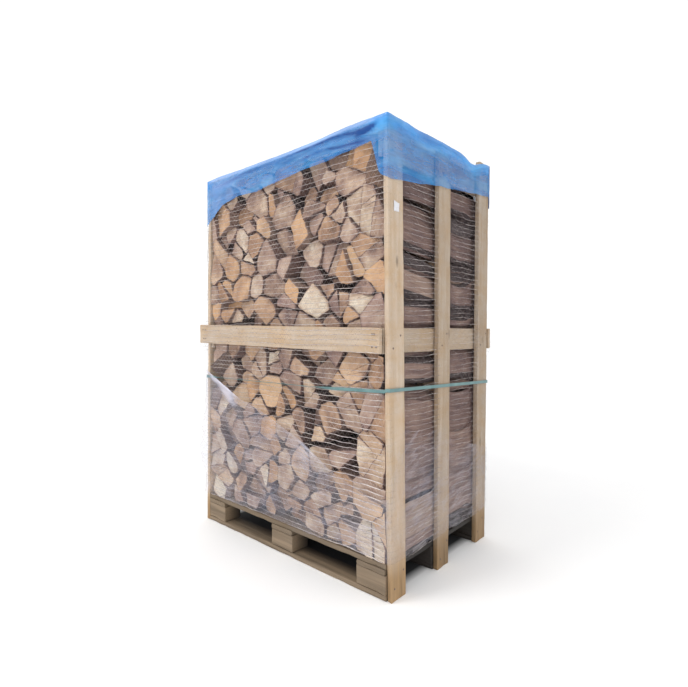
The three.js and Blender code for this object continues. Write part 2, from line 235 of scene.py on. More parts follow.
# ---- Materials ----
class Tree:
    """Short calls that add nodes to a material's tree or to a group's."""

    def __init__(self, tree):
        self.tree = tree

    def feed(self, socket, value):
        if isinstance(value, bpy.types.NodeSocket):
            self.tree.links.new(value, socket)
        else:
            socket.default_value = value

    def add(self, kind, inputs=None, **settings):
        node = self.tree.nodes.new(kind)
        for key, value in settings.items():
            setattr(node, key, value)
        for key, value in (inputs or {}).items():
            self.feed(node.inputs[key], value)
        return node

    def math(self, operation, a, b=0.0, clamp=False):
        node = self.add("ShaderNodeMath", {0: a, 1: b}, operation=operation, use_clamp=clamp)
        return node.outputs[0]

    def plus(self, a, b):
        return self.math("ADD", a, b)

    def minus(self, a, b):
        return self.math("SUBTRACT", a, b)

    def times(self, a, b, clamp=False):
        return self.math("MULTIPLY", a, b, clamp)

    def parts(self, vector):
        return self.add("ShaderNodeSeparateXYZ", {0: vector}).outputs

    def spread(self, value, low, high, to_low=0.0, to_high=1.0):
        """value moved from low..high to to_low..to_high, held at both ends."""
        inputs = {"Value": value, "From Min": low, "From Max": high, "To Min": to_low, "To Max": to_high}
        return self.add("ShaderNodeMapRange", inputs, clamp=True).outputs[0]

    def mix(self, share, a, b, blend="MIX"):
        node = self.add("ShaderNodeMix", data_type="RGBA", blend_type=blend, clamp_factor=True)
        for index, value in ((0, share), (6, a), (7, b)):
            self.feed(node.inputs[index], (*value, 1) if isinstance(value, tuple) else value)
        return node.outputs[2]

    def ramp(self, value, stops):
        node = self.add("ShaderNodeValToRGB", {"Fac": value})
        elements = node.color_ramp.elements
        while len(elements) < len(stops):
            elements.new(0.5)
        for element, (place, colour) in zip(elements, stops):
            element.position = place
            element.color = (*colour, 1)
        return node.outputs["Color"]

    def noise(self, vector, scale, detail=3.0, roughness=0.55):
        inputs = {"Vector": vector, "Scale": scale, "Detail": detail, "Roughness": roughness}
        return self.add("ShaderNodeTexNoise", inputs).outputs[0]

    def scaled(self, vector, scale, turn=0.0):
        inputs = {"Vector": vector, "Scale": scale, "Rotation": (0, 0, turn)}
        return self.add("ShaderNodeMapping", inputs).outputs[0]

    def value(self, name):
        return self.add("ShaderNodeAttribute", attribute_name=name).outputs["Fac"]

    def bump(self, height, distance, strength=1.0):
        inputs = {"Height": height, "Distance": distance, "Strength": strength}
        return self.add("ShaderNodeBump", inputs).outputs[0]

    def paint(self, shader, **inputs):
        """Feeds the shader's inputs, named with _ for a space."""
        for key, value in inputs.items():
            self.feed(shader.inputs[key.replace("_", " ")], value)

    def group(self, group, inputs):
        node = self.add("ShaderNodeGroup", node_tree=group)
        for key, value in inputs.items():
            self.feed(node.inputs[key], value)
        return node.outputs


def new_group(name, inputs, outputs):
    """An empty shader group, its tree helper and its two end nodes. inputs give (name, kind, value)."""
    group = bpy.data.node_groups.new(name, "ShaderNodeTree")
    for key, kind, value in inputs:
        socket = group.interface.new_socket(key, in_out="INPUT", socket_type="NodeSocket" + kind)
        if value is not None:
            socket.default_value = value
    for key, kind in outputs:
        group.interface.new_socket(key, in_out="OUTPUT", socket_type="NodeSocket" + kind)
    tree = Tree(group)
    return group, tree, tree.add("NodeGroupInput"), tree.add("NodeGroupOutput")


def make_fibres_group():
    """Long wood fibre: broad streaks and fine lines along u of a vector that is in metres."""
    group, tree, start, end = new_group(
        "wood_fibres",
        [("Vector", "Vector", None), ("Shift", "Float", 0.0), ("Streaks", "Float", 60.0)],
        [("Streak", "Float"), ("Fine", "Float")])
    offset = tree.add("ShaderNodeCombineXYZ", {0: start.outputs["Shift"], 1: start.outputs["Shift"],
                                               2: start.outputs["Shift"]}).outputs[0]
    moved = tree.add("ShaderNodeVectorMath", {0: start.outputs["Vector"], 1: offset}, operation="ADD")
    along = tree.scaled(moved.outputs[0], (0.055, 1.0, 1.0))
    streak = tree.add("ShaderNodeTexNoise", {"Vector": along, "Detail": 3.0, "Roughness": 0.6})
    tree.feed(streak.inputs["Scale"], start.outputs["Streaks"])
    fine = tree.noise(tree.scaled(moved.outputs[0], (0.02, 1.0, 1.0)), 420.0, 2.0)
    tree.feed(end.inputs["Streak"], tree.spread(streak.outputs[0], 0.28, 0.72))
    tree.feed(end.inputs["Fine"], tree.spread(fine, 0.3, 0.7))
    return group


def make_rings_group():
    """Growth rings from the distance to the pith in metres: a slow rise and a quick fall each year."""
    group, tree, start, end = new_group(
        "growth_rings",
        [("Radius", "Float", 0.0), ("Spacing", "Float", 0.004), ("Vector", "Vector", None)],
        [("Ring", "Float")])
    wobble = tree.times(tree.noise(start.outputs["Vector"], 18.0, 2.0), 0.012)
    years = tree.math("DIVIDE", tree.plus(start.outputs["Radius"], wobble), start.outputs["Spacing"])
    part = tree.math("FRACT", years)
    tree.feed(end.inputs["Ring"], tree.math("POWER", part, 2.2))
    return group


def make_grime_group():
    """Dirt as soft blotches, heavier towards the ground. Height is where the heavy part ends."""
    group, tree, start, end = new_group(
        "grime",
        [("Vector", "Vector", None), ("Height", "Float", 0.16), ("Amount", "Float", 0.5)],
        [("Mask", "Float")])
    up = tree.parts(start.outputs["Vector"])[2]
    low = tree.math("SUBTRACT", 1.0, tree.math("DIVIDE", up, start.outputs["Height"]), clamp=True)
    blotch = tree.spread(tree.noise(start.outputs["Vector"], 11.0, 5.0, 0.65), 0.4, 0.72)
    both = tree.plus(tree.times(low, 0.7), blotch)
    tree.feed(end.inputs["Mask"], tree.times(both, start.outputs["Amount"], clamp=True))
    return group


def make_creases_group():
    """Creases of thin film: ridged streaks along u. Crease is a mask, Height is for bump."""
    group, tree, start, end = new_group(
        "film_creases",
        [("Vector", "Vector", None), ("Scale", "Float", 12.0), ("Stretch", "Float", 0.2)],
        [("Crease", "Float"), ("Height", "Float")])
    parts = tree.parts(start.outputs["Vector"])
    along = tree.times(parts[0], start.outputs["Stretch"])
    vector = tree.add("ShaderNodeCombineXYZ", {0: along, 1: parts[1], 2: parts[2]}).outputs[0]
    folds = tree.add("ShaderNodeTexNoise", {"Vector": vector, "Detail": 4.0, "Roughness": 0.6,
                                            "Distortion": 0.6})
    tree.feed(folds.inputs["Scale"], start.outputs["Scale"])
    ridge = tree.math("ABSOLUTE", tree.minus(folds.outputs[0], 0.5))
    tree.feed(end.inputs["Crease"], tree.spread(ridge, 0.0, 0.07, 1.0, 0.0))
    tree.feed(end.inputs["Height"], folds.outputs[0])
    return group


FIBRES = make_fibres_group()
RINGS = make_rings_group()
GRIME = make_grime_group()
CREASES = make_creases_group()


def new_material(name, roughness, metallic=0.0, **constants):
    """A material, its tree helper, its Principled shader and its object and uv coordinates."""
    material = bpy.data.materials.new(name)
    material.use_nodes = True
    tree = Tree(material.node_tree)
    shader = material.node_tree.nodes["Principled BSDF"]
    shader.inputs["Roughness"].default_value = roughness
    shader.inputs["Metallic"].default_value = metallic
    for key, value in constants.items():
        shader.inputs[key.replace("_", " ")].default_value = value
    place = tree.add("ShaderNodeTexCoord")
    return material, tree, shader, place.outputs["Object"], place.outputs["UV"]


def make_board_material(name, pale, dark, grey, grime, height, soil, shaded):
    """Sawn softwood: streaked faces, ringed ends, knots, and grey and dirt as far as it has weathered.
    Where shaded is over 0 it also paints shade inside the pallet, near the middle across Y.
    """
    material, tree, shader, place, uv = new_material(name, 0.72)
    tone = tree.value("tone")
    end = tree.value("end")
    fibres = tree.group(FIBRES, {"Vector": uv, "Shift": tree.times(tone, 9.0), "Streaks": 34.0})
    radius = tree.add("ShaderNodeVectorMath", {0: uv}, operation="LENGTH").outputs["Value"]
    rings = tree.group(RINGS, {"Radius": radius, "Vector": place})["Ring"]
    grain = tree.mix(end, fibres["Streak"], rings)
    colour = tree.mix(grain, pale, dark)
    fine = tree.times(fibres["Fine"], 0.14)
    colour = tree.mix(fine, colour, tuple(0.55 * c for c in dark))
    knots = tree.add("ShaderNodeTexVoronoi", {"Vector": tree.scaled(uv, (4.2, 10.0, 1.0)), "Scale": 1.0,
                                              "Randomness": 1.0})
    knot = tree.spread(knots.outputs["Distance"], 0.03, 0.12, 1.0, 0.0)
    knot = tree.times(knot, tree.minus(1.0, end))
    colour = tree.mix(tree.times(knot, 0.75), colour, tuple(0.28 * c for c in dark))
    weather = tree.spread(tree.noise(place, 5.0, 4.0), 0.42, 0.66)
    colour = tree.mix(tree.times(weather, grey), colour, (0.30, 0.26, 0.235))
    dirt = tree.group(GRIME, {"Vector": place, "Height": height, "Amount": grime})["Mask"]
    colour = tree.mix(dirt, colour, soil)
    up = tree.parts(place)[2]
    damp = tree.spread(tree.plus(up, tree.times(fibres["Streak"], 0.09)), 0.13, 0.25, 0.8, 0.0)
    wet = tree.mix(grain, soil, tuple(0.30 * c for c in soil))
    colour = tree.mix(damp, colour, wet)
    # Painted shade: wood less than 0.30 m from the middle across Y, inside the pallet, is mixed to near
    # black, as much as shaded says.
    across = tree.math("ABSOLUTE", tree.parts(place)[1])
    inside = tree.times(tree.spread(across, 0.30, 0.375, 1.0, 0.0), shaded)
    colour = tree.mix(inside, colour, (0.012, 0.011, 0.012))
    # The tone scales the colour; for the posts and rails it carries painted shade.
    shade = tree.spread(tone, 0.0, 1.0, 0.60, 1.06)
    even = tree.add("ShaderNodeCombineColor", {0: shade, 1: shade, 2: shade}).outputs[0]
    colour = tree.mix(1.0, colour, even, "MULTIPLY")
    tree.paint(shader, Base_Color=colour)
    height_map = tree.plus(tree.times(fibres["Fine"], 0.6), fibres["Streak"])
    tree.paint(shader, Normal=tree.bump(height_map, 0.0012, 0.7))
    tree.paint(shader, Roughness=tree.spread(grain, 0.0, 1.0, 0.62, 0.82))
    return material


LOG_PALETTE = [
    (0.00, (0.060, 0.042, 0.046)), (0.20, (0.160, 0.102, 0.092)), (0.40, (0.320, 0.215, 0.172)),
    (0.60, (0.480, 0.350, 0.268)), (0.80, (0.640, 0.510, 0.390)), (1.00, (0.790, 0.710, 0.590)),
]


def make_log_material():
    """Split firewood: sawn ends with rings, checks and saw marks, fibrous split faces, ridged bark; the
    ends' rims and the split faces are darkened partly by painted shade.
    """
    material, tree, shader, place, uv = new_material("split_firewood", 0.82)
    tone, hue, bark, end, rim = (tree.value(key) for key in ("tone", "hue", "bark", "end", "rim"))
    fibres = tree.group(FIBRES, {"Vector": uv, "Shift": tree.times(hue, 7.0), "Streaks": 75.0})
    radius = tree.add("ShaderNodeVectorMath", {0: uv}, operation="LENGTH").outputs["Value"]
    rings = tree.group(RINGS, {"Radius": radius, "Vector": place, "Spacing": 0.0052})["Ring"]
    blotch = tree.noise(place, 11.0, 5.0, 0.62)

    # The sawn end: the palette by tone, darker late wood, stains, saw marks and cracks from the pith.
    shade = tree.math("ADD", tone, tree.times(tree.math("SUBTRACT", blotch, 0.5), 1.7), clamp=True)
    # The rim ring of each end is darker, partly a dark sapwood edge and partly painted shade at the end's
    # bevelled edge.
    shade = tree.minus(shade, tree.times(rim, tree.spread(blotch, 0.35, 0.6, 0.20, 0.05)))
    sawn = tree.ramp(shade, LOG_PALETTE)
    sawn = tree.mix(tree.times(rings, 0.30), sawn, (0.22, 0.12, 0.065))
    marks = tree.noise(tree.scaled(place, (9.0, 1.0, 120.0), 0.0), 1.0, 4.0, 0.7)
    sawn = tree.mix(tree.spread(marks, 0.44, 0.68, 0.0, 0.55), sawn, (0.25, 0.16, 0.10))
    spokes = tree.add("ShaderNodeVectorMath", {0: uv}, operation="NORMALIZE").outputs[0]
    cracks = tree.times(tree.spread(tree.noise(spokes, 9.0, 3.0), 0.655, 0.70),
                       tree.spread(tree.noise(uv, 40.0, 2.0), 0.40, 0.55))
    sawn = tree.mix(tree.times(cracks, 0.8), sawn, (0.035, 0.022, 0.02))
    warm = tree.times(tree.spread(hue, 0.50, 1.0, 0.0, 0.75), tree.spread(blotch, 0.35, 0.62, 0.5, 1.0))
    sawn = tree.mix(warm, sawn, (0.60, 0.335, 0.150))
    sawn = tree.mix(tree.spread(hue, 0.0, 0.32, 0.40, 0.0), sawn, (0.34, 0.225, 0.215))

    # The split face: redder than the end and streaked along the log, and darker, partly its own colour and
    # partly painted shade of the bays at the crate's ends.
    streak = tree.plus(tree.times(fibres["Streak"], 0.30), tree.times(tone, 0.20))
    streak = tree.plus(streak, tree.spread(hue, 0.62, 0.90, 0.0, 0.24))
    split = tree.ramp(tree.plus(streak, tree.times(tree.minus(blotch, 0.5), 0.5)),
                      LOG_PALETTE)
    # Painted shade: the split faces, seen mostly in the shaded bays at the crate's ends, are mixed 35%
    # towards a dark purple-brown.
    split = tree.mix(0.35, split, (0.105, 0.064, 0.070))
    split = tree.mix(tree.times(fibres["Fine"], 0.35), split, (0.13, 0.075, 0.05))

    # Bark: dark grey-brown plates between darker furrows.
    plates = tree.add("ShaderNodeTexVoronoi", {"Vector": tree.scaled(uv, (0.3, 1.0, 1.0)), "Scale": 85.0},
                      feature="DISTANCE_TO_EDGE").outputs["Distance"]
    furrow = tree.spread(plates, 0.0, 0.30, 0.45, 1.0)
    rough = tree.noise(tree.scaled(place, (1, 0.25, 1)), 60.0, 5.0, 0.7)
    skin = tree.ramp(tree.times(furrow, rough), [
        (0.15, (0.036, 0.026, 0.028)), (0.42, (0.078, 0.056, 0.056)), (0.75, (0.150, 0.108, 0.100))])

    colour = tree.mix(bark, split, skin)
    colour = tree.mix(end, colour, sawn)
    tree.paint(shader, Base_Color=colour)
    side_height = tree.mix(bark, fibres["Streak"], tree.times(furrow, 2.4))
    relief = tree.mix(end, side_height, tree.minus(tree.times(marks, 0.35), cracks))
    tree.paint(shader, Normal=tree.bump(relief, 0.003, 0.8))
    tree.paint(shader, Roughness=tree.spread(fibres["Fine"], 0.0, 1.0, 0.72, 0.92))
    return material


def make_thread_material():
    """Thin pale net yarn that lets half the light through, uneven along its length."""
    material, tree, shader, place, _ = new_material("net_yarn", 0.5)
    uneven = tree.noise(place, 13.0, 4.0, 0.7)
    tree.paint(shader, Base_Color=tree.ramp(uneven, [
        (0.3, (0.58, 0.51, 0.54)), (0.7, (0.84, 0.78, 0.73))]))
    # thick carries how much the yarn covers and a painted glint: brighter on the front, dimmer at the ends.
    thick = tree.times(tree.value("thick"), tree.spread(uneven, 0.34, 0.66, 0.45, 1.5), clamp=True)
    tree.paint(shader, Alpha=thick)
    tree.paint(shader, Normal=tree.bump(tree.noise(place, 900.0, 1.0), 0.0004))
    return material


def make_cap_material():
    """Blue polythene: see-through, deeper where it folds on itself, with painted shade in the folds, paler
    at its creases, and paler at its top edge, partly a doubled layer and partly a painted highlight.
    """
    material, tree, shader, _, uv = new_material("blue_film", 0.25, Specular_IOR_Level=0.3)
    edge = tree.value("edge")
    fold = tree.value("fold")
    creases = tree.group(CREASES, {"Vector": uv, "Scale": 22.0, "Stretch": 0.16})
    broad = tree.noise(tree.scaled(uv, (1.0, 3.0, 1.0)), 4.5, 3.0)
    colour = tree.ramp(broad, [(0.32, (0.004, 0.165, 0.530)), (0.50, (0.010, 0.250, 0.690)),
                               (0.66, (0.060, 0.370, 0.800))])
    colour = tree.mix(tree.times(creases["Crease"], 0.20), colour, (0.14, 0.44, 0.86))
    # Painted shade: the folds under the top edge are mixed to deep blue.
    streak = tree.times(fold, tree.spread(creases["Crease"], 0.0, 1.0, 0.85, 1.4), clamp=True)
    colour = tree.mix(streak, colour, (0.0, 0.052, 0.235))
    # Painted highlight: the top edge, where the film bends over, is mixed to a pale blue.
    colour = tree.mix(edge, colour, (0.27, 0.44, 0.78))
    tree.paint(shader, Base_Color=colour)
    solid = tree.plus(0.48, tree.times(creases["Crease"], 0.12))
    solid = tree.plus(solid, tree.times(tree.value("double"), 0.26))
    solid = tree.plus(solid, tree.times(fold, 0.42))
    tree.paint(shader, Alpha=tree.math("ADD", solid, tree.times(edge, 0.25), clamp=True))
    tree.paint(shader, Normal=tree.bump(creases["Height"], 0.006, 0.5))
    tree.paint(shader, Roughness=tree.spread(broad, 0.3, 0.7, 0.18, 0.38))
    return material


def make_film_material():
    """Clear stretch film: faint lilac haze, whiter along its ropes and creases and where a painted sheen
    lies on it.
    """
    material, tree, shader, _, uv = new_material("clear_film", 0.22, Specular_IOR_Level=0.5)
    haze_and_sheen = tree.value("haze_and_sheen")
    slanted = tree.scaled(uv, (1, 1, 1), 0.5)
    creases = tree.group(CREASES, {"Vector": slanted, "Scale": 16.0, "Stretch": 0.22})
    white = tree.math("MAXIMUM", haze_and_sheen, tree.times(creases["Crease"], 0.3), clamp=True)
    white = tree.spread(white, 0.15, 0.45)
    veil = tree.ramp(tree.noise(uv, 5.0, 3.0), [(0.42, (0.36, 0.39, 0.50)), (0.56, (0.62, 0.57, 0.61))])
    tree.paint(shader, Base_Color=tree.mix(white, veil, (0.74, 0.73, 0.86)))
    patchy = tree.spread(tree.noise(uv, 6.0, 3.0), 0.40, 0.62, 0.03, 0.17)
    clear = tree.times(creases["Crease"], patchy)
    tree.paint(shader, Alpha=tree.math("ADD", clear, haze_and_sheen, clamp=True))
    tree.paint(shader, Normal=tree.bump(creases["Height"], 0.004, 0.4))
    return material


def make_strap_material():
    """Teal polyester strap, embossed with a fine diamond pattern."""
    material, tree, shader, place, uv = new_material("teal_strap", 0.4)
    check = tree.add("ShaderNodeTexChecker", {"Vector": tree.scaled(uv, (260.0, 260.0, 1.0), math.pi / 4),
                                              "Scale": 1.0}).outputs["Fac"]
    worn = tree.noise(place, 22.0, 4.0)
    colour = tree.ramp(worn, [(0.3, (0.095, 0.195, 0.200)), (0.7, (0.175, 0.300, 0.295))])
    tree.paint(shader, Base_Color=tree.mix(tree.times(check, 0.25), colour,
                                                    (0.04, 0.15, 0.17)))
    tree.paint(shader, Normal=tree.bump(check, 0.0003))
    return material


def make_nail_material():
    """Dull wire-nail steel with a first bloom of rust."""
    material, tree, shader, place, _ = new_material("nail_steel", 0.45, 0.8)
    rust = tree.noise(place, 240.0, 4.0)
    tree.paint(shader, Base_Color=tree.ramp(rust, [
        (0.4, (0.20, 0.19, 0.19)), (0.7, (0.20, 0.09, 0.045))]))
    tree.paint(shader, Roughness=tree.spread(rust, 0.3, 0.7, 0.35, 0.8))
    return material


def make_paper_material():
    """A weathered scrap of blank white paper."""
    material, tree, shader, place, _ = new_material("blank_paper", 0.85)
    fibre = tree.noise(place, 300.0, 3.0)
    tree.paint(shader, Base_Color=tree.ramp(fibre, [
        (0.3, (0.62, 0.62, 0.66)), (0.7, (0.74, 0.74, 0.77))]))
    tree.paint(shader, Normal=tree.bump(fibre, 0.0005))
    return material


def make_floor_material():
    """Pale floor with a painted shadow: nearly black inside the pallet's footprint."""
    material, tree, shader, place, _ = new_material("pale_floor", 0.9)
    grain = tree.noise(place, 3.0, 3.0)
    pale = tree.ramp(grain, [(0.3, (0.945, 0.945, 0.95)), (0.7, (0.96, 0.96, 0.96))])
    # Painted shadow: inside the pallet's footprint the floor is mixed to near black, fading out near its
    # edge.
    away = tree.parts(place)
    sides = [tree.spread(tree.math("ABSOLUTE", away[axis]), reach - 0.06, reach - 0.01, 1.0, 0.0)
             for axis, reach in ((0, 0.60), (1, 0.40))]
    tree.paint(shader, Base_Color=tree.mix(tree.times(*sides), pale, (0.030, 0.030, 0.034)))
    return material


# ---- Boards ----
BEVEL = 0.0018
ARRIS = 0.003  # radius of a board's long edges
STATION_STEP = 0.045
OUTLINE_STEP = 0.013
MAX_PULL = 0.02  # how deep a nick or a bark edge may go


def vertices_of(node):
    """A CAD node's points in metres, as [points, 3]."""
    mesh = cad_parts[node].data
    at = np.empty(len(mesh.vertices) * 3)
    mesh.vertices.foreach_get("co", at)
    return at.reshape(-1, 3)


def end_boxes(node):
    """The rectangles at both ends of a CAD board, [end, low or high, xyz], and its axes: length, width,
    thickness. Boards lean or climb, so the two rectangles aren't in line."""
    at = vertices_of(node)
    axes = np.argsort(-np.ptp(at, axis=0))
    along = at[:, axes[0]]
    middle = (along.min() + along.max()) / 2
    ends = [at[along < middle], at[along > middle]]
    return np.array([[e.min(axis=0), e.max(axis=0)] for e in ends]), axes


def rounded_outline(width, thickness, radius):
    """Points round a rectangle with round corners, anticlockwise, with 1 at corners and 0 on flats."""
    half = np.array([width / 2, thickness / 2]) - radius
    points, cornered = [], []
    for turn, (sx, sy) in enumerate(((1, 1), (-1, 1), (-1, -1), (1, -1))):
        angle = (turn + np.linspace(0, 1, 4)) * np.pi / 2
        arc = half * (sx, sy) + radius * directions(angle)
        points.append(arc)
        cornered.append(np.ones(4))
        following = half * ((-1, 1), (-1, -1), (1, -1), (1, 1))[turn]
        following = following + radius * np.array(((0, 1), (-1, 0), (0, -1), (1, 0))[turn])
        steps = int(np.linalg.norm(following - arc[-1]) / OUTLINE_STEP)
        flat = arc[-1] + (following - arc[-1]) * (np.arange(1, steps + 1) / (steps + 1))[:, None]
        points.append(flat)
        cornered.append(np.zeros(steps))
    return np.concatenate(points), np.concatenate(cornered)


def sawn_board(name, material, rng, tone, wane=(), rough=1.0):
    """A board in place of a CAD one. A rounded rectangle is carried from one end rectangle to the other;
    its corners are nicked and its faces waver by smooth noise, always inwards, and both ends are
    bevelled. wane lists bark edges: (corner angle, place along in metres, half-length, depth)."""
    boxes, (length, width, thickness) = end_boxes(name)
    start, finish = boxes[0, 0, length], boxes[1, 0, length]
    span = finish - start
    sizes = (boxes[:, 1] - boxes[:, 0]).mean(axis=0)
    outline, cornered = rounded_outline(sizes[width], sizes[thickness], ARRIS)
    stations = max(3, int(span / STATION_STEP))
    inner = np.arange(1, stations) / stations
    share = np.concatenate([[0, 0, 0, BEVEL / span], inner, [1 - BEVEL / span, 1, 1, 1]])
    shrink = np.concatenate([[0.35, 0.8, 1, 1], np.ones(len(inner)), [1, 1, 0.8, 0.35]])
    inset = np.concatenate([[0, 0, BEVEL, 0], np.zeros(len(inner)), [0, BEVEL, 0, 0]])
    centre = boxes.mean(axis=1)
    middle = centre[0] + (centre[1] - centre[0]) * share[:, None]

    seed_points = stacked(share[:, None] * span, outline[None, :, 0] * 2, outline[None, :, 1] * 2)
    seed_points = seed_points + rng.uniform(0, 50, 3)
    waver = 0.0006 * rough * (waves(seed_points, 9, 0.08, 0.4, rng) + 1.2)
    nicks = 0.0011 * rough * np.clip(waves(seed_points, 12, 0.03, 0.12, rng) + 0.4, 0, 2) * cornered
    pull = waver + nicks + inset[:, None]
    angle = np.arctan2(outline[:, 1] / sizes[thickness], outline[:, 0] / sizes[width])
    for corner, place, half, depth in wane:
        near = bump_at(np.angle(np.exp(1j * (angle - corner))), 0, 0.75)[None, :]
        pull = pull + depth * near * bump_at(share * span, place, half)[:, None]
    reach = np.linalg.norm(outline, axis=1)
    section = outline[None] * (shrink[:, None] * (1 - np.minimum(pull, MAX_PULL) / reach[None]))[..., None]

    points = np.repeat(middle[:, None], len(outline), axis=1)
    points[:, :, width] += section[:, :, 0]
    points[:, :, thickness] += section[:, :, 1]
    rows, columns = points.shape[:2]

    # Faces turn outwards when length, width and thickness are a right-handed set.
    quads = grid_quads(1, rows, columns)
    ends = end_faces(1, rows, columns)
    around = distance_round(outline)
    shift = rng.uniform(0, 20)
    side_uv = stacked(share[:, None] * span + shift, around[None] + shift)
    pith = np.array([rng.uniform(-0.4, 0.4) * sizes[width], rng.uniform(0.6, 2.2) * sizes[width]])
    end_uv = np.concatenate([section, section[:, :1]], axis=1) + pith
    on_end = np.zeros(rows, bool)
    on_end[[0, 1, 2, -3, -2, -1]] = True
    face_end = (on_end[:-1] & on_end[1:]).astype(float)
    corner_uv = np.where(np.repeat(face_end > 0, columns)[:, None, None],
                         grid_uv(end_uv[None]).reshape(-1, 4, 2), grid_uv(side_uv[None]).reshape(-1, 4, 2))
    last_uv = np.concatenate([end_uv[0, :columns][::-1], end_uv[-1, :columns]])
    uv = np.concatenate([corner_uv.reshape(-1, 2), last_uv])
    if not right_handed(length, width, thickness):
        quads, ends = quads[:, ::-1], ends[:, ::-1]
        uv = np.concatenate([corner_uv[:, ::-1].reshape(-1, 2),
                             last_uv.reshape(2, columns, 2)[:, ::-1].reshape(-1, 2)])
    end = np.concatenate([np.repeat(face_end, columns), [1, 1]])
    make_piece(name + "_sawn", points.reshape(-1, 3), [quads, ends], material, [name], uv,
               {"end": end, "tone": np.full(len(end), tone)}, smooth=False)


def right_handed(a, b, c):
    """Whether the axes a, b and c, as 0 to 2, turn like X, Y and Z."""
    return (a, b, c) in ((0, 1, 2), (1, 2, 0), (2, 0, 1))


def make_boards(frame_wood, pallet_wood):
    """Every board, block, post and rail. The tone, 0 to 1, says how light it is painted: the wood's own
    tone, and for the posts and rails also painted shade.
    """
    rng = np.random.default_rng(5)
    kinds = ("bottom_board", "block", "stringer", "deck_board")
    pallet = sorted(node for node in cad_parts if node.startswith(kinds))
    for name in pallet:
        tone = 0.15 if name.startswith(("stringer", "deck")) else 0.75
        sawn_board(name, pallet_wood, rng, tone + rng.uniform(-0.15, 0.15), rough=1.6)
    wanes = {
        "post_right_front": [(-2.6, 0.02, 0.16, 0.006)],
        "post_right_middle": [(0.5, 0.05, 0.12, 0.005)],
        "post_right_back": [(2.6, 1.2, 0.2, 0.004)],
    }
    # Painted shade: the middle and back posts at the right end get much darker tones than the front one,
    # for the light that falls off along that end.
    painted_shade_tones = {"post_right_front": 0.64, "post_right_middle": 0.16, "post_right_back": 0.06}
    for name in sorted(POSTS.values()):
        sawn_board(name, frame_wood, rng, painted_shade_tones.get(name, 0.8), wanes.get(name, ()))
    # Painted shade: every rail but the front long one gets a darker tone, for the shade at the crate's
    # ends.
    for name in ("mid_rail_front", "mid_rail_back", "mid_rail_left", "mid_rail_right", "top_rail_left",
                 "top_rail_right"):
        sawn_board(name, frame_wood, rng, 0.62 if name == "mid_rail_front" else 0.22)


# ---- Firewood ----
OUTLINE = 28
LOG_STATIONS = 7
LOG_PITCH = 0.124
END_ZONE = 0.46  # beyond this the logs' sides show at the crate's ends
WALL_GAP = 0.004
NEAR = 14  # neighbours that cut each log's cell
DEEP_SHARE = 0.12  # logs that stand well back from the others
SET_BACK = 0.013
LEAST_SET_BACK = 0.004
CAP_RINGS = (0.5, 0.86, 1.0)  # rings of a log's end, as shares of its outline
CAP_INSET = (0.0, 0.0, 0.0030)
END_TILT = 0.13
FILL_REACH = 0.34  # how far along the outer logs fill their cells behind the corner posts
FILL_FADE = 0.12
CORNER_RISE = 0.018
FAR = 9.0  # a radius or a limit too large to matter


def outline_radii(centres, normals, limits, arc_centres, arc_radii, angles, sharp=None):
    """How far each log's outline is from its centre at each angle: the nearest of its flat faces (the
    points p with normal . p = limit) and of its round of bark. The second result says which is nearest,
    with the last number for the bark. With sharp the nearest is blended with the next ones, which rounds
    the corners: the sum of reach to the power of -sharp, to the power of -1 / sharp."""
    along = directions(angles)
    facing = np.einsum("nkd,nad->nka", normals, along)
    space = limits - np.einsum("nkd,nd->nk", normals, centres)
    reach = np.where(facing > 1e-6, space[:, :, None] / np.maximum(facing, 1e-6), np.inf)
    toward = arc_centres - centres
    ahead = np.einsum("nd,nad->na", toward, along)
    inside = ahead**2 - (toward**2).sum(axis=1)[:, None] + arc_radii[:, None] ** 2
    bark = ahead + np.sqrt(np.maximum(inside, 0))
    reach = np.concatenate([reach, bark[:, None]], axis=1)
    nearest = reach.min(axis=1)
    if sharp is None:
        return nearest, reach.argmin(axis=1)
    power = sharp[:, None, None]
    total = ((nearest[:, None] / reach) ** power).sum(axis=1)
    return nearest * total ** (-1 / sharp[:, None]), reach.argmin(axis=1)


def area_centres(centres, radii, angles):
    """The middle of area of outlines given round a point: the mean of radius cubed over radius squared."""
    along = directions(angles)
    cubes = (radii[..., None] ** 3 * along).sum(axis=1)
    return centres + 2 / 3 * cubes / (radii**2).sum(axis=1)[:, None]


def scatter_sites(left, right, low, high, pitch, rng):
    """Uneven rows of points: every other row is moved half a pitch, and each point strays a little."""
    rows = int(round((high - low) / (0.80 * pitch)))
    columns = int(round((right - left) / (1.18 * pitch)))
    row, column = np.meshgrid(np.arange(rows), np.arange(columns), indexing="ij")
    x = left + (column + 0.5 + 0.25 * np.where(row % 2, 1, -1)) / columns * (right - left)
    z = low + (row + 0.5) / rows * (high - low)
    sites = np.stack([x.ravel(), z.ravel()], axis=1)
    return sites + rng.uniform(-0.34, 0.34, sites.shape) * pitch


def post_face(end, inner, z):
    """The x of an end's posts at heights z, as the tightest of its three posts: inner or outer face."""
    sign = 1 if end == "right" else -1
    found = []
    for row in ROWS:
        boxes, _ = end_boxes(POSTS[end, row])
        side = int((sign > 0) != inner)
        faces = boxes[:, side, 0]
        heights = boxes[:, 0, 2]
        found.append(faces[0] + (faces[1] - faces[0]) * (z - heights[0]) / (heights[1] - heights[0]))
    best = np.min if (sign > 0) == inner else np.max
    return best(found, axis=0)


def wall_at(end, z):
    """The x where logs stop at an end: the posts' inner faces, or the rails' where a rail is near."""
    sign = 1 if end == "right" else -1
    wall = post_face(end, True, z)
    for rail in (f"mid_rail_{end}", f"top_rail_{end}"):
        low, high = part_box(rail)
        inner = low[0] if sign > 0 else high[0]
        near = (z > low[2] - 0.012) & (z < high[2] + 0.012)
        wall = np.where(near, inner, wall)
    return wall - sign * WALL_GAP


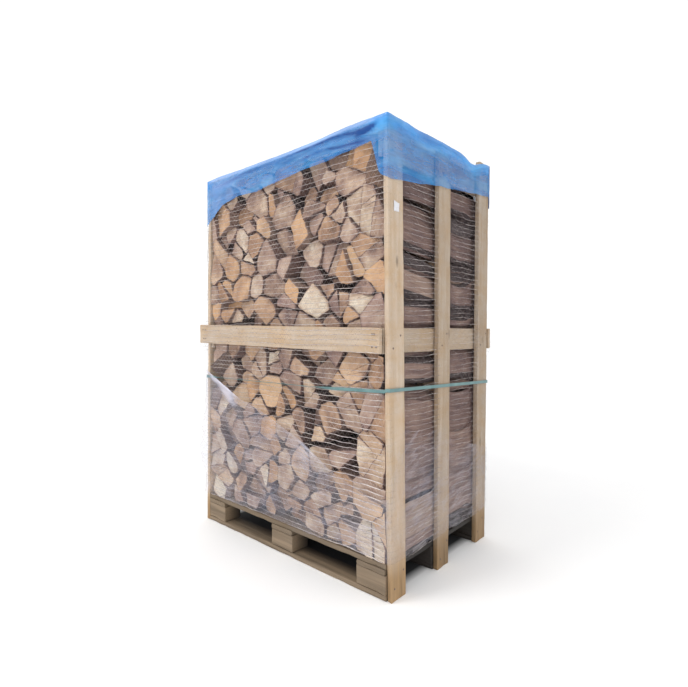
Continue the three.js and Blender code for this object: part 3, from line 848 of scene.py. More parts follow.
def split_logs(rng):
    """The cross-sections of one row of logs. Cells round scattered points are cut by half-planes midway
    between neighbours; the larger ones are split again by chords, as an axe would; some keep a round of
    bark. Returns the arrays that outline_radii takes."""
    top = STACK_TOP - 0.012
    sites = scatter_sites(wall_at("left", 0.6), wall_at("right", 0.6), DECK_TOP, top, LOG_PITCH, rng)
    weights = rng.uniform(-1, 1, len(sites)) * 0.0026
    gap = sites[None] - sites[:, None]
    distance = np.linalg.norm(gap, axis=2) + np.eye(len(sites)) * FAR
    nearest = np.argsort(distance, axis=1)[:, :NEAR]
    apart = np.take_along_axis(distance, nearest, axis=1)
    normals = np.take_along_axis(gap, nearest[..., None], axis=1) / apart[..., None]
    reach = (apart**2 + weights[:, None] - weights[nearest]) / (2 * apart)
    limits = np.einsum("nkd,nd->nk", normals, sites) + reach

    # The walls, the deck and the uneven top of the stack.
    x, z = sites.T
    count = len(sites)
    lean = rng.uniform(-0.5, 0.5, (4, count)) * np.array([1, 1, 1, 0.2])[:, None]
    tops = top + 0.008 - 0.012 * (1 + waves(x[:, None], 5, 0.25, 0.7, rng)) / 2
    bounds = [
        (np.stack([-np.ones(count), np.zeros(count)], 1), -post_face("left", True, z) - WALL_GAP),
        (np.stack([np.ones(count), np.zeros(count)], 1), post_face("right", True, z) - WALL_GAP),
        (np.stack([np.zeros(count), -np.ones(count)], 1), np.full(count, -DECK_TOP - 0.001)),
        (np.stack([np.zeros(count), np.ones(count)], 1), tops),
    ]
    # A second, leaning face just inside each wall keeps the outer logs from being cut flat.
    for (normal, limit), tilt in zip(list(bounds), lean):
        turned = np.stack([normal[:, 0] * np.cos(tilt) - normal[:, 1] * np.sin(tilt),
                           normal[:, 0] * np.sin(tilt) + normal[:, 1] * np.cos(tilt)], axis=1)
        room = limit - (normal * sites).sum(axis=1)
        inner_room = np.maximum(room * rng.uniform(0.86, 1.0, count), 0.02)
        bounds.append((turned, (turned * sites).sum(axis=1) + inner_room))
    normals = np.concatenate([normals] + [n[:, None] for n, _ in bounds], axis=1)
    limits = np.concatenate([limits] + [c[:, None] for _, c in bounds], axis=1)
    return divide_cells(sites, normals, limits, rng)


def divide_cells(centres, normals, limits, rng):
    """Splits cells in two by a chord, the large ones first, and moves each centre to its middle of area."""
    for smallest, chance in ((0.054, 0.48), (0.060, 0.22)):
        angles = np.broadcast_to(np.linspace(0, 2 * np.pi, 180, endpoint=False), (len(centres), 180))
        far, wide = centres * 0, np.full(len(centres), FAR)
        radii, _ = outline_radii(centres, normals, limits, far, wide, angles)
        centres = area_centres(centres, radii, angles)
        radii, _ = outline_radii(centres, normals, limits, far, wide, angles)
        size = np.sqrt((radii**2).mean(axis=1))
        chosen = (size > smallest) & (rng.uniform(size=len(size)) < chance)
        turn = rng.normal(np.pi / 2, 0.75, len(size))
        chord = directions(turn)
        middle = (chord * centres).sum(axis=1) + rng.uniform(-0.25, 0.25, len(size)) * size
        outline = centres[:, None] + radii[..., None] * directions(angles)
        side = np.einsum("nd,nad->na", chord, outline) < middle[:, None]
        halves = [np.einsum("na,nad->nd", part, outline) / np.maximum(part.sum(axis=1), 1)[:, None]
                  for part in (side, ~side)]
        first = np.where(chosen[:, None], halves[0], centres)
        limit = np.where(chosen, middle, FAR)
        normals_a = np.concatenate([normals, chord[:, None]], axis=1)
        limits_a = np.concatenate([limits, limit[:, None]], axis=1)
        normals_b = np.concatenate([normals, -chord[:, None]], axis=1)[chosen]
        limits_b = np.concatenate([limits, -limit[:, None]], axis=1)[chosen]
        centres = np.concatenate([first, halves[1][chosen]])
        normals = np.concatenate([normals_a, normals_b])
        limits = np.concatenate([limits_a, limits_b])
    return centres, normals, limits


def bark_rounds(centres, size, rng):
    """A circle for each log that cuts its far corners round: its middle stands behind the log's centre,
    away from the bark. Logs without bark get a circle too large to matter."""
    count = len(centres)
    turn = rng.uniform(0, 2 * np.pi, count)
    near_wall = np.abs(centres[:, 0]) > END_ZONE
    turn = np.where(near_wall, np.where(centres[:, 0] > 0, 0, np.pi) + rng.normal(0, 0.5, count), turn)
    behind = rng.uniform(0.2, 1.3, count) * size
    direction = directions(turn)
    radii = behind + rng.uniform(0.80, 0.98, count) * size
    wall_share = 0.55 + 0.38 * smooth_step((centres[:, 1] - 0.70) / 0.3)
    has_bark = rng.uniform(size=count) < np.where(near_wall, wall_share, 0.72)
    middles = centres - direction * behind[:, None]
    return middles, np.where(has_bark, radii, FAR), has_bark


def corner_angles(kind, count):
    """count angles for each outline, gathered at its corners: evenly spaced steps of a running total that
    grows a little at every angle and a lot wherever the nearest face changes."""
    samples = kind.shape[1]
    change = (kind != np.roll(kind, -1, axis=1)).astype(float)
    spread = sum(np.roll(change, k, axis=1) for k in range(-2, 3)) / 5
    total = np.cumsum(1 + 0.115 * samples * spread, axis=1)
    steps = (np.arange(count) + 0.5) / count
    fine = np.linspace(0, 2 * np.pi, samples, endpoint=False)
    return np.array([np.interp(steps * row[-1], row, fine) for row in total])


def make_log_row(name, front, back, seed, material, replaces, at_back):
    """One row of logs, each an outline carried from its front end to its back end, with sawn end caps. The
    outline is the cell of split_logs, tapered, bowed and roughened by smooth noise; each end is a flat
    cap, set back and tilted by its own amount. Tone, hue, bark, end and rim are kept on the faces."""
    rng = np.random.default_rng(seed)
    centres, normals, limits = split_logs(rng)
    outer = np.abs(centres[:, 0]) > END_ZONE
    limits = limits - np.where(outer, -0.0015, 0.0004 + 0.0050 * rng.uniform(size=len(centres))**2)[:, None]
    dense = np.broadcast_to(np.linspace(0, 2 * np.pi, 720, endpoint=False), (len(centres), 720))
    far, wide = centres * 0, np.full(len(centres), FAR)
    radii, _ = outline_radii(centres, normals, limits, far, wide, dense)
    keep = radii.min(axis=1) > 0.006
    centres, normals, limits, radii, dense = (a[keep] for a in (centres, normals, limits, radii, dense))
    centres = area_centres(centres, radii, dense)
    radii, _ = outline_radii(centres, normals, limits, far[keep], wide[keep], dense)
    size = np.sqrt((radii**2).mean(axis=1))
    arc_centres, arc_radii, has_bark = bark_rounds(centres, size, rng)
    _, kind = outline_radii(centres, normals, limits, arc_centres, arc_radii, dense)
    angles = corner_angles(kind, OUTLINE)
    sharp = np.where(np.abs(centres[:, 0]) > END_ZONE, 24.0, rng.uniform(9, 26, len(centres)))
    radii, kind = outline_radii(centres, normals, limits, arc_centres, arc_radii, angles, sharp)
    on_bark = kind == normals.shape[1]
    count = len(centres)

    # Stations along Y: both ends' caps, then the sides. Each end stands back by its own amount.
    near_wall = np.abs(centres[:, 0]) > END_ZONE
    deep = (rng.uniform(size=count) < DEEP_SHARE) & ~near_wall
    set_back = np.abs(rng.normal(0, SET_BACK, (2, count)))
    set_back = set_back + np.where(deep, rng.uniform(0.02, 0.060, count), 0)
    set_back = np.where(near_wall, set_back * 0.3, set_back) + LEAST_SET_BACK
    set_back = set_back + 0.006 * smooth_step((centres[:, 1] - 1.60) / 0.06)
    starts = front + set_back[0]
    ends = back - set_back[1]
    cap_share, cap_inset = np.array(CAP_RINGS), np.array(CAP_INSET)
    sides = np.linspace(0, 1, LOG_STATIONS)
    share = np.concatenate([np.zeros(3), [0.004], sides[1:-1], [0.996], np.ones(3)])
    shrink = np.concatenate([cap_share, np.ones(LOG_STATIONS), cap_share[::-1]])
    inset = np.concatenate([cap_inset, np.zeros(LOG_STATIONS), cap_inset[::-1]])
    rows = len(share)

    ridge = rng.normal(0, 1, (count, OUTLINE)) * np.where(on_bark, 0.0018, 0.0015)
    long = (ends - starts)[:, None] * share + starts[:, None]
    taper = 1 - np.abs(rng.normal(0, 0.03, (count, 1))) * np.where(near_wall, 0.1, 1)[:, None] * share
    # Behind the corner posts the outer logs fill their whole cell, so the stack is closed there.
    whole, _ = outline_radii(centres, normals, limits, arc_centres, np.full(count, FAR), angles)
    whole = whole + (0.022 if at_back else 0.002)
    from_corner = 1 - share if at_back else share
    fill = near_wall[:, None] * smooth_step((FILL_REACH - from_corner) / FILL_FADE)
    outline = radii[:, None] + (whole - radii)[:, None] * fill[..., None]
    section = outline * taper[..., None] + ridge[:, None]
    seed_points = stacked(long[:, :, None] * 0.6, (centres[:, 0, None] + radii * np.cos(angles))[:, None],
                          (centres[:, 1, None] + radii * np.sin(angles))[:, None])
    section = section + 0.0024 * waves(seed_points, 14, 0.03, 0.14, rng) - inset[None, :, None]
    section = np.maximum(section, 0.004) * shrink[None, :, None]

    slope = rng.normal(0, 0.016, (count, 2))
    slope[near_wall, 0] = 0
    # Outer logs sink together towards the middle of the crate, more in some courses than in others.
    shared = -0.028 - 0.028 * np.sin(9.0 * centres[:, 1] + seed)
    slope[near_wall, 1] = shared[near_wall]
    sink = np.where(near_wall[:, None] & at_back, 0.8 * np.sin(np.pi * share), share)
    drift = slope[:, None] * sink[..., None]
    bow = rng.normal(0, 0.003, (count, 2))[:, None] * np.sin(np.pi * share)[None, :, None]
    x = (centres[:, 0, None] + (drift + bow)[..., 0])[..., None] + section * np.cos(angles)[:, None]
    z = (centres[:, 1, None] + (drift + bow)[..., 1])[..., None] + section * np.sin(angles)[:, None]
    tilt = np.clip(rng.normal(0, END_TILT, (count, 2, 2)), -0.3, 0.3)
    ends_tilt = np.where((share < 0.5)[None, :, None], tilt[:, None, 0], tilt[:, None, 1])
    capped = np.isin(share, (0.0, 1.0, 0.004, 0.996)).astype(float)
    lean = ((x - centres[:, 0, None, None]) * ends_tilt[..., :1] + (z - centres[:, 1, None, None])
            * ends_tilt[..., 1:]) * capped[None, :, None]
    y = np.broadcast_to(long[..., None], x.shape) + lean + 0.0006 * rng.normal(size=x.shape)
    y = np.clip(y, front - 0.001, back + 0.003)
    x = np.clip(x, wall_at("left", z) + 0.0005, wall_at("right", z) - 0.0005)
    z = np.clip(z, DECK_TOP + 0.0006, STACK_TOP + 0.004 + CORNER_RISE * fill[..., None])
    points = np.stack([x, y, z], axis=-1)

    # The outline runs from +X to +Z, so rings that go towards +Y face inwards until they are turned.
    quads = grid_quads(count, rows, OUTLINE)[:, ::-1]
    ends_list = end_faces(count, rows, OUTLINE)[:, ::-1]
    side_step = np.linalg.norm(np.diff(points[:, 4], axis=1, append=points[:, 4, :1]), axis=-1)
    around = np.concatenate([np.zeros((count, 1)), np.cumsum(side_step, axis=1)], axis=1)
    shift = rng.uniform(0, 30, (count, 1, 1))
    side_uv = stacked(long[..., None] + shift, around[:, None] + shift)
    pith = np.where(has_bark[:, None], arc_centres, centres + rng.normal(0, 0.05, (count, 2)))
    flat = np.stack([x - pith[:, 0, None, None], z - pith[:, 1, None, None]], axis=-1)
    end_uv = np.concatenate([flat, flat[:, :, :1]], axis=2)
    row_end = np.zeros(rows - 1)
    row_end[[0, 1, -2, -1]] = 1
    face_end = np.broadcast_to(row_end[None, :, None], (count, rows - 1, OUTLINE)).reshape(-1)
    row_rim = np.zeros(rows - 1)
    row_rim[[1, -2]] = 1
    face_rim = np.broadcast_to(row_rim[None, :, None], (count, rows - 1, OUTLINE)).reshape(-1)
    uv = np.where(face_end[:, None, None] > 0, grid_uv(end_uv).reshape(-1, 4, 2),
                  grid_uv(side_uv).reshape(-1, 4, 2))[:, ::-1].reshape(-1, 2)
    cap_uv = np.concatenate([flat[:, 0], flat[:, -1, ::-1]]).reshape(-1, 2)
    barked = on_bark & np.roll(on_bark, -1, axis=1)
    face_bark = np.broadcast_to(barked[:, None], (count, rows - 1, OUTLINE)).reshape(-1).astype(float)
    tone = 0.34 + 0.38 * rng.beta(1.7, 1.6, count)
    # Painted shade: the logs that stand well back get darker tones.
    tone = np.where(deep, tone * 0.7, tone)
    tone = np.where(rng.uniform(size=count) < 0.09, rng.uniform(0.78, 0.92, count), tone)
    # Painted light and shade: the tones of the logs at the crate's ends are raised low down and lowered
    # higher up, by height.
    painted_wall_shading = 0.45 * smooth_step((0.75 - centres[:, 1]) / 0.3) - 0.12 + rng.normal(0, 0.14, count)
    tone = np.where(near_wall, tone + painted_wall_shading, tone)
    hue = rng.uniform(size=count)
    side_faces = (rows - 1) * OUTLINE
    per_face = lambda numbers: np.concatenate([np.repeat(numbers, side_faces), np.tile(numbers, 2)])
    values = {
        "end": np.concatenate([face_end, np.ones(2 * count)]),
        "rim": np.concatenate([face_rim, np.zeros(2 * count)]),
        "bark": np.concatenate([face_bark, np.zeros(2 * count)]),
        "tone": per_face(tone),
        "hue": per_face(hue),
    }
    uv = np.concatenate([uv, cap_uv])
    make_piece(name, points.reshape(-1, 3), [quads, ends_list], material, replaces, uv, values,
               smooth=False)


def make_firewood(material):
    """Both rows of logs, which meet in the middle of the crate."""
    tiers = lambda row: [f"logs_{row}_tier_{i:02d}" for i in range(1, 11)]
    make_log_row("logs_front", LOG_FRONT - 0.003, LOG_JOIN, 21, material, tiers("front"), False)
    make_log_row("logs_back", LOG_JOIN + 0.012, LOG_BACK + 0.003, 34, material, tiers("back"), True)


# ---- The hull that the wraps follow ----
RAIL_APPROACH = 0.032  # height over which a wrap leaves the posts for the long rails
ROUND = 0.006  # how far round each corner a wrap bends


def along_post(node, side, z):
    """x of the outer face and y of both edges of a post at heights z."""
    boxes, _ = end_boxes(node)
    heights = boxes[:, 0, 2]
    share = (z - heights[0]) / (heights[1] - heights[0])
    outer = boxes[:, 1 if side > 0 else 0, 0]
    mix = lambda pair: pair[0] + (pair[1] - pair[0]) * share
    return mix(outer), mix(boxes[:, 0, 1]), mix(boxes[:, 1, 1])


def over_rail(z):
    """1 at the height of the long rails, falling smoothly to 0 above and below them."""
    low, high = (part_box("mid_rail_front")[i][2] for i in (0, 1))
    below = smooth_step((z - low + RAIL_APPROACH) / RAIL_APPROACH)
    return below * smooth_step((high + RAIL_APPROACH - z) / RAIL_APPROACH)


def hull(z, offset, long_steps, face_steps):
    """The closed line of a wrap round the crate at heights z, as [..., points, 2], and a row with 1 for its
    points on the long sides. It runs over the posts' outer faces at the ends and straight between the
    corners on the long sides, out over the long rails at their height, and stands off by offset."""
    z = np.asarray(z, float)
    rail = over_rail(z)
    corners, faces = {}, {}
    for end, sign in (("left", -1), ("right", 1)):
        edges = [along_post(POSTS[end, row], sign, z) for row in ROWS]
        rail_x = [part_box("mid_rail_" + side)[1 if sign > 0 else 0][0] for side in ("front", "back")]
        outer = [edges[0][0], edges[2][0]]
        reach = [o + (sign * np.maximum(sign * o, sign * r) - o) * rail for o, r in zip(outer, rail_x)]
        front_y = edges[0][1] + (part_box("mid_rail_front")[0][1] - edges[0][1]) * rail - offset
        back_y = edges[2][2] + (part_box("mid_rail_back")[1][1] - edges[2][2]) * rail + offset
        corners[end] = [(reach[0] + sign * offset, front_y), (reach[1] + sign * offset, back_y)]
        level = lambda x: x + sign * offset
        middle_x = sign * np.maximum(sign * edges[1][0], sign * (edges[0][0] + edges[2][0]) / 2)
        faces[end] = [(level(edges[0][0]), edges[0][2]), (level(middle_x), edges[1][1]),
                      (level(middle_x), edges[1][2]), (level(edges[2][0]), edges[2][1])]
    line = [corners["left"][0], corners["right"][0], *faces["right"], corners["right"][1],
            corners["left"][1], *faces["left"][::-1]]
    knots = np.stack([np.stack(np.broadcast_arrays(x, y, z)[:2], axis=-1) for x, y in line], axis=-2)
    steps = [long_steps] + [face_steps] * 5 + [long_steps] + [face_steps] * 5
    is_corner = {0, 1, 6, 7}
    parts = []
    for i, count in enumerate(steps):
        a, b = knots[..., i, :], knots[..., (i + 1) % len(steps), :]
        ahead = b - a
        length = np.linalg.norm(ahead, axis=-1, keepdims=True)
        t = np.arange(count) / count
        piece = a[..., None, :] + ahead[..., None, :] * t[:, None]
        if i in is_corner:
            before = knots[..., i - 1, :] - a
            before = before / np.linalg.norm(before, axis=-1, keepdims=True)
            after = ahead / length
            arc = [a + before * ROUND, a + (before + after) * ROUND * 0.22, a + after * ROUND]
            piece = np.concatenate([np.stack(arc, axis=-2), piece[..., 1:, :]], axis=-2)
        parts.append(piece)
    ring = np.concatenate(parts, axis=-2)
    long_side = np.concatenate([np.full(p.shape[-2], 1 if i in (0, 6) else 0) for i, p in enumerate(parts)])
    return ring, long_side


def hull_rings(z, offset, steps):
    """The hull's points where each point has a height of its own: z is [rows, points]."""
    index = np.arange(z.shape[1])
    rings = [hull(row, offset, *steps) for row in z]
    return np.stack([ring[index, index] for ring, _ in rings]), rings[0][1]


# ---- Net ----
NET_OFFSET = 0.0024
NET_STEPS = (44, 5)
CHAIN_GAP = 0.0225
CHAIN_RADIUS = 0.0012
WEFT_RADIUS = 0.00045
WEFT_TURNS = (0.96, 0.04)


def net_paths(heights, rng):
    """Level loops of the net. Each one wanders up and down a little, in step with its neighbours."""
    ring, long_side = hull(heights, NET_OFFSET, *NET_STEPS)
    z = np.broadcast_to(heights[:, None], ring.shape[:2])
    points = np.concatenate([ring, z[..., None]], axis=-1)
    sway = 0.0042 * waves(points * (1, 1, 0.8), 10, 0.16, 0.7, rng)
    points[..., 2] += sway + 0.0016 * waves(points, 10, 0.05, 0.15, rng)
    middle = (1 - over_rail(points[..., 2])) * long_side
    press = 0.0022 * (waves(points, 12, 0.09, 0.3, rng) + 0.4) * middle
    points[..., 1] += np.sign(points[..., 1]) * press
    return points


def yarn_cover_and_glint(points):
    """How much the yarn shows, partly how much light it stops and partly painted glint: most on the long
    sides, beside the near corner and low down, less at the ends, where less light falls, and next to none
    where it lies stretched flat on a post."""
    x, y, z = np.moveaxis(points, -1, 0)
    long_side = np.abs(y) > 0.39
    low = smooth_step((x - 0.10) / 0.35) * smooth_step((1.0 - z) / 0.6)
    on_long = 0.62 + 0.18 * low + 0.20 * bump_at(x, 0.580, 0.035)
    on_long = on_long * (1 - 0.92 * smooth_step((np.abs(x) - 0.588) / 0.008))
    bay = smooth_step((np.abs(np.abs(y) - 0.345) - 0.045) / 0.01) * smooth_step((np.abs(y) - 0.050) / 0.01)
    under_cap = z > CRATE_TOP - hem_heights(points) - 0.004
    return np.where(long_side, on_long, 0.03 + 0.32 * bay) * np.where(under_cap, 0.08, 1)


def make_net(material):
    """The knitted net. Its chains are thin tubes round the crate's hull, evenly spaced in height, and each
    waves up and down by smooth noise. Between two chains a thinner yarn runs as a zigzag: at every half
    step it is 0.04 or 0.96 of the way from the lower chain to the upper one."""
    rng = np.random.default_rng(8)
    low, high = (float(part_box("net_wrap")[i][2]) for i in (0, 1))
    count = int((high - low) / CHAIN_GAP)
    heights = low + 0.004 + np.arange(count) * (high - low - 0.008) / (count - 1)
    heights[1:-1] += rng.normal(0, 0.0016, count - 2)
    paths = net_paths(heights, rng)
    # The yarn is bunched thicker low down beside the near corner.
    x, y, z = np.moveaxis(paths, 2, 0)
    bunched = smooth_step((x - 0.10) / 0.35) * smooth_step((1.0 - z) / 0.6) * (y < -0.36)
    radius = CHAIN_RADIUS * (1 + 0.9 * bunched) * (1 + 0.25 * waves(paths, 8, 0.05, 0.3, rng))
    points = tubes(paths, radius[..., None, None], 3)
    quads = loop_quads(count, paths.shape[1], 3)
    make_piece("net_chains", points.reshape(-1, 3), [quads], material, ["net_wrap"],
               values={"thick": np.repeat(yarn_cover_and_glint(paths), 3)})

    # The yarn laid between two chains zigzags from one to the other.
    steps = paths.shape[1] * 2
    place = np.arange(steps) / 2
    lower = (np.floor(place).astype(int)) % paths.shape[1]
    upper = (lower + 1) % paths.shape[1]
    part = (place - np.floor(place))[None, :, None]
    between = paths[:, lower] * (1 - part) + paths[:, upper] * part
    share = np.where(np.arange(steps) % 2, *WEFT_TURNS)[None, :, None]
    zigzag = between[:-1] * (1 - share) + between[1:] * share
    points = tubes(zigzag, WEFT_RADIUS, 3)
    quads = loop_quads(count - 1, steps, 3)
    make_piece("net_weft", points.reshape(-1, 3), [quads], material, (),
               values={"thick": np.repeat(0.8 * yarn_cover_and_glint(zigzag), 3)})


# ---- Film cap ----
CAP_OFFSET = 0.0040  # how far the cap stands off the crate's hull
CAP_STEPS = (110, 16)  # points along each long side, and along each part of an end


def hem_heights(ring):
    """How far the cap's hem hangs under the crate's top at each point of a ring, in metres: a short skirt
    that is longer at the corners, with small scallops."""
    x, y = ring[..., 0], ring[..., 1]
    front_x = [-0.64, -0.585, -0.43, -0.29, -0.15, -0.04, 0.09, 0.27, 0.45, 0.54, 0.575, 0.625]
    front = [0.245, 0.237, 0.150, 0.128, 0.138, 0.127, 0.117, 0.105, 0.098, 0.085, 0.215, 0.243]
    side_y = [-0.41, -0.31, -0.04, 0.06, 0.32, 0.41]
    side = [0.243, 0.228, 0.195, 0.185, 0.156, 0.150]
    back = 0.19 + 0.02 * np.cos(4.2 * x + 0.6) + 0.035 * smooth_step((np.abs(x) - 0.5) / 0.1)
    left = 0.20 + 0.035 * np.cos(6 * y)
    on_front, on_back = y < -0.39, y > 0.385
    drop = np.where(x > 0, np.interp(y, side_y, side), left)
    drop = np.where(on_front, np.interp(x, front_x, front), drop)
    return np.where(on_back, back, drop)


def make_cap(material):
    """The film cap: rings from the wavy hem up the skirt, over the top edge and in to the middle, where
    the film sags on the logs. Folds run along the long edges and fan out at the corners."""
    rng = np.random.default_rng(3)
    flat_rows = 22
    base = hull(np.array([CRATE_TOP - 0.1]), 0.0, *CAP_STEPS)[0][0]
    count = len(base)
    drop = hem_heights(base) + 0.0022 * waves(base, 12, 0.09, 0.30, rng)
    share = np.linspace(0, 1, flat_rows)[:, None]
    down = drop[None] * (1 - share)
    z = CRATE_TOP - down
    skirt, long_side = hull_rings(z, CAP_OFFSET, CAP_STEPS)
    long_side = long_side[None] * np.ones((flat_rows, 1))
    x, y = skirt[..., 0], skirt[..., 1]
    edge_x = 1 - smooth_step((np.abs(x) - 0.50) / 0.08)
    edge_y = 1 - smooth_step((np.abs(y) - 0.22) / 0.06)

    # Folds: the skirt moves in and out along lines that run with the top edge and turn down at the ends.
    level = np.stack([x * 0.6, y * 0.6, down * 4.0], axis=-1)
    fold = waves(level, 12, 0.09, 0.32, rng)
    fine = waves(np.stack([x, y, down], axis=-1), 16, 0.02, 0.07, rng)
    on_long = long_side * edge_x
    amount = on_long * (0.0025 * (fold + 1) + 0.0010 * fine) + (1 - on_long) * 0.0006 * fine
    out = stacked(np.where(long_side > 0, 0, np.sign(x)), np.where(long_side > 0, np.sign(y), 0))
    skirt = skirt + out * amount[..., None]

    # The film bridges from corner post to corner post; at the ends it dips a little between the posts.
    bridge = on_long[-1] * 0.004 * (1 + waves(base, 6, 0.3, 0.9, rng))
    dip = (0.030 * bump_at(y[-1], 0.235, 0.075) + 0.006 * edge_y[-1]) * (1 - long_side[-1])
    fall = (bridge + dip)[None] * share**1.5
    skirt = np.concatenate([skirt, (z - fall)[..., None]], axis=-1)

    # Over the top: rounded at the edge, then straight in to the middle with a sag.
    inward = np.array([0.002, 0.006, 0.02, 0.06, 0.14, 0.25, 0.38, 0.52, 0.66, 0.80, 0.90, 0.965])
    rim = skirt[-1]
    lift = np.array([0.0010, 0.0014, 0.0014, 0.0, -0.004, -0.010, -0.016, -0.022, -0.026, -0.028, -0.030,
                     -0.030])
    top = np.stack([rim * (1 - s, 1 - s, 1) + (0, 0, h) for s, h in zip(inward, lift)])
    wrinkle = waves(top * (1, 1, 0), 20, 0.07, 0.4, rng) * 0.004 * smooth_step(inward * 12)[:, None]
    top[..., 2] = np.minimum(top[..., 2] + wrinkle, CRATE_TOP + 0.0016)
    top[..., 2] = np.maximum(top[..., 2], STACK_TOP + 0.006)
    points = np.concatenate([skirt, top])
    rows = len(points)
    quads = grid_quads(1, rows, count)
    middle_face = np.arange(count)[None] + (rows - 1) * count

    # uv: metres along the ring, and metres below the top edge.
    along = distance_round(base)
    below = np.concatenate([np.concatenate([down, down[:, :1]], axis=1),
                            -np.repeat(inward[:, None] * 0.5, count + 1, axis=1)])
    uv = np.concatenate([grid_uv(stacked(along[None], below)[None]), np.zeros((count, 2))])

    # Masks: the pale doubled edge, partly a painted highlight where the film bends over, and the dark folds
    # under it, partly painted shade, on the long sides.
    side_mask = long_side * edge_x
    a = along[None, :-1]
    centre = 0.030 + 0.010 * np.sin(a * 5.0 + 1.0) + 0.005 * np.sin(a * 13.0)
    dark = bump_at(down, centre, 0.012) * (0.8 + 0.2 * np.sin(a * 9.0))
    dark += 0.8 * bump_at(down, centre + 0.040, 0.010) * smooth_step(np.sin(a * 6.3 + 2.0) * 1.5)
    dark += 0.5 * bump_at(down, centre + 0.020, 0.006) * smooth_step(np.sin(a * 11.0) * 1.5)
    near = smooth_step((x - 0.40) / 0.12) * smooth_step((0.590 - x) / 0.05)
    near = near * bump_at(down, 0.026 + 0.25 * np.maximum(0.575 - x, 0), 0.013)
    fold_and_shade_mask = np.clip(dark * side_mask + 0.9 * near * (y < 0) * long_side, 0, 1)
    tucked = smooth_step((x - 0.44) / 0.07) * (y > 0.385)
    fold_and_shade_mask = np.maximum(fold_and_shade_mask, 0.75 * tucked)
    # Painted highlight: a pale band along the top edge, wider towards the left of the long sides, and on
    # the first rings over the top.
    pale = smooth_step((0.020 - down) / 0.012) * (0.25 + 0.75 * side_mask)
    pale = pale + 0.45 * side_mask * smooth_step((-0.10 - x) / 0.40)
    over = np.repeat([0.6, 0.3, 0.1], count)
    fold_value = np.concatenate([fold_and_shade_mask.ravel(), np.zeros(len(top) * count)])
    pale_edge_and_highlight = np.concatenate([pale.ravel(), over, np.zeros(len(top) * count - len(over))])
    double = smooth_step((0.075 - down) / 0.05) * (1 - side_mask)
    double_value = np.concatenate([double.ravel(), np.ones(len(top) * count)])
    cap = make_piece("film_cap_sheet", points.reshape(-1, 3), [quads, middle_face], material, ["film_cap"],
                     uv, {"fold": fold_value, "edge": pale_edge_and_highlight, "double": double_value})


# ---- Stretch film ----
FILM_OFFSET = 0.0036
FILM_STEPS = (90, 14)


def film_top_heights(ring):
    """Height of the film's upper edge at each point of a ring: it climbs from the near corner both ways."""
    x, y = ring[:, 0], ring[:, 1]
    front_x = [-0.65, -0.594, -0.305, -0.129, 0.136, 0.319, 0.556, 0.63]
    front = [0.835, 0.815, 0.690, 0.645, 0.549, 0.451, 0.382, 0.400]
    side_y = [-0.41, -0.37, -0.31, -0.06, 0.07, 0.34, 0.41]
    side = [0.400, 0.520, 0.645, 0.605, 0.540, 0.468, 0.450]
    back = np.interp(x, [-0.65, -0.3, 0.2, 0.65], [0.86, 0.74, 0.60, 0.46])
    left = np.interp(y, [-0.41, 0.0, 0.41], [0.88, 0.90, 0.86])
    drop = np.where(x > 0, np.interp(y, side_y, side), left)
    drop = np.where(y < -0.39, np.interp(x, front_x, front), drop)
    return np.where(y > 0.385, back, drop)


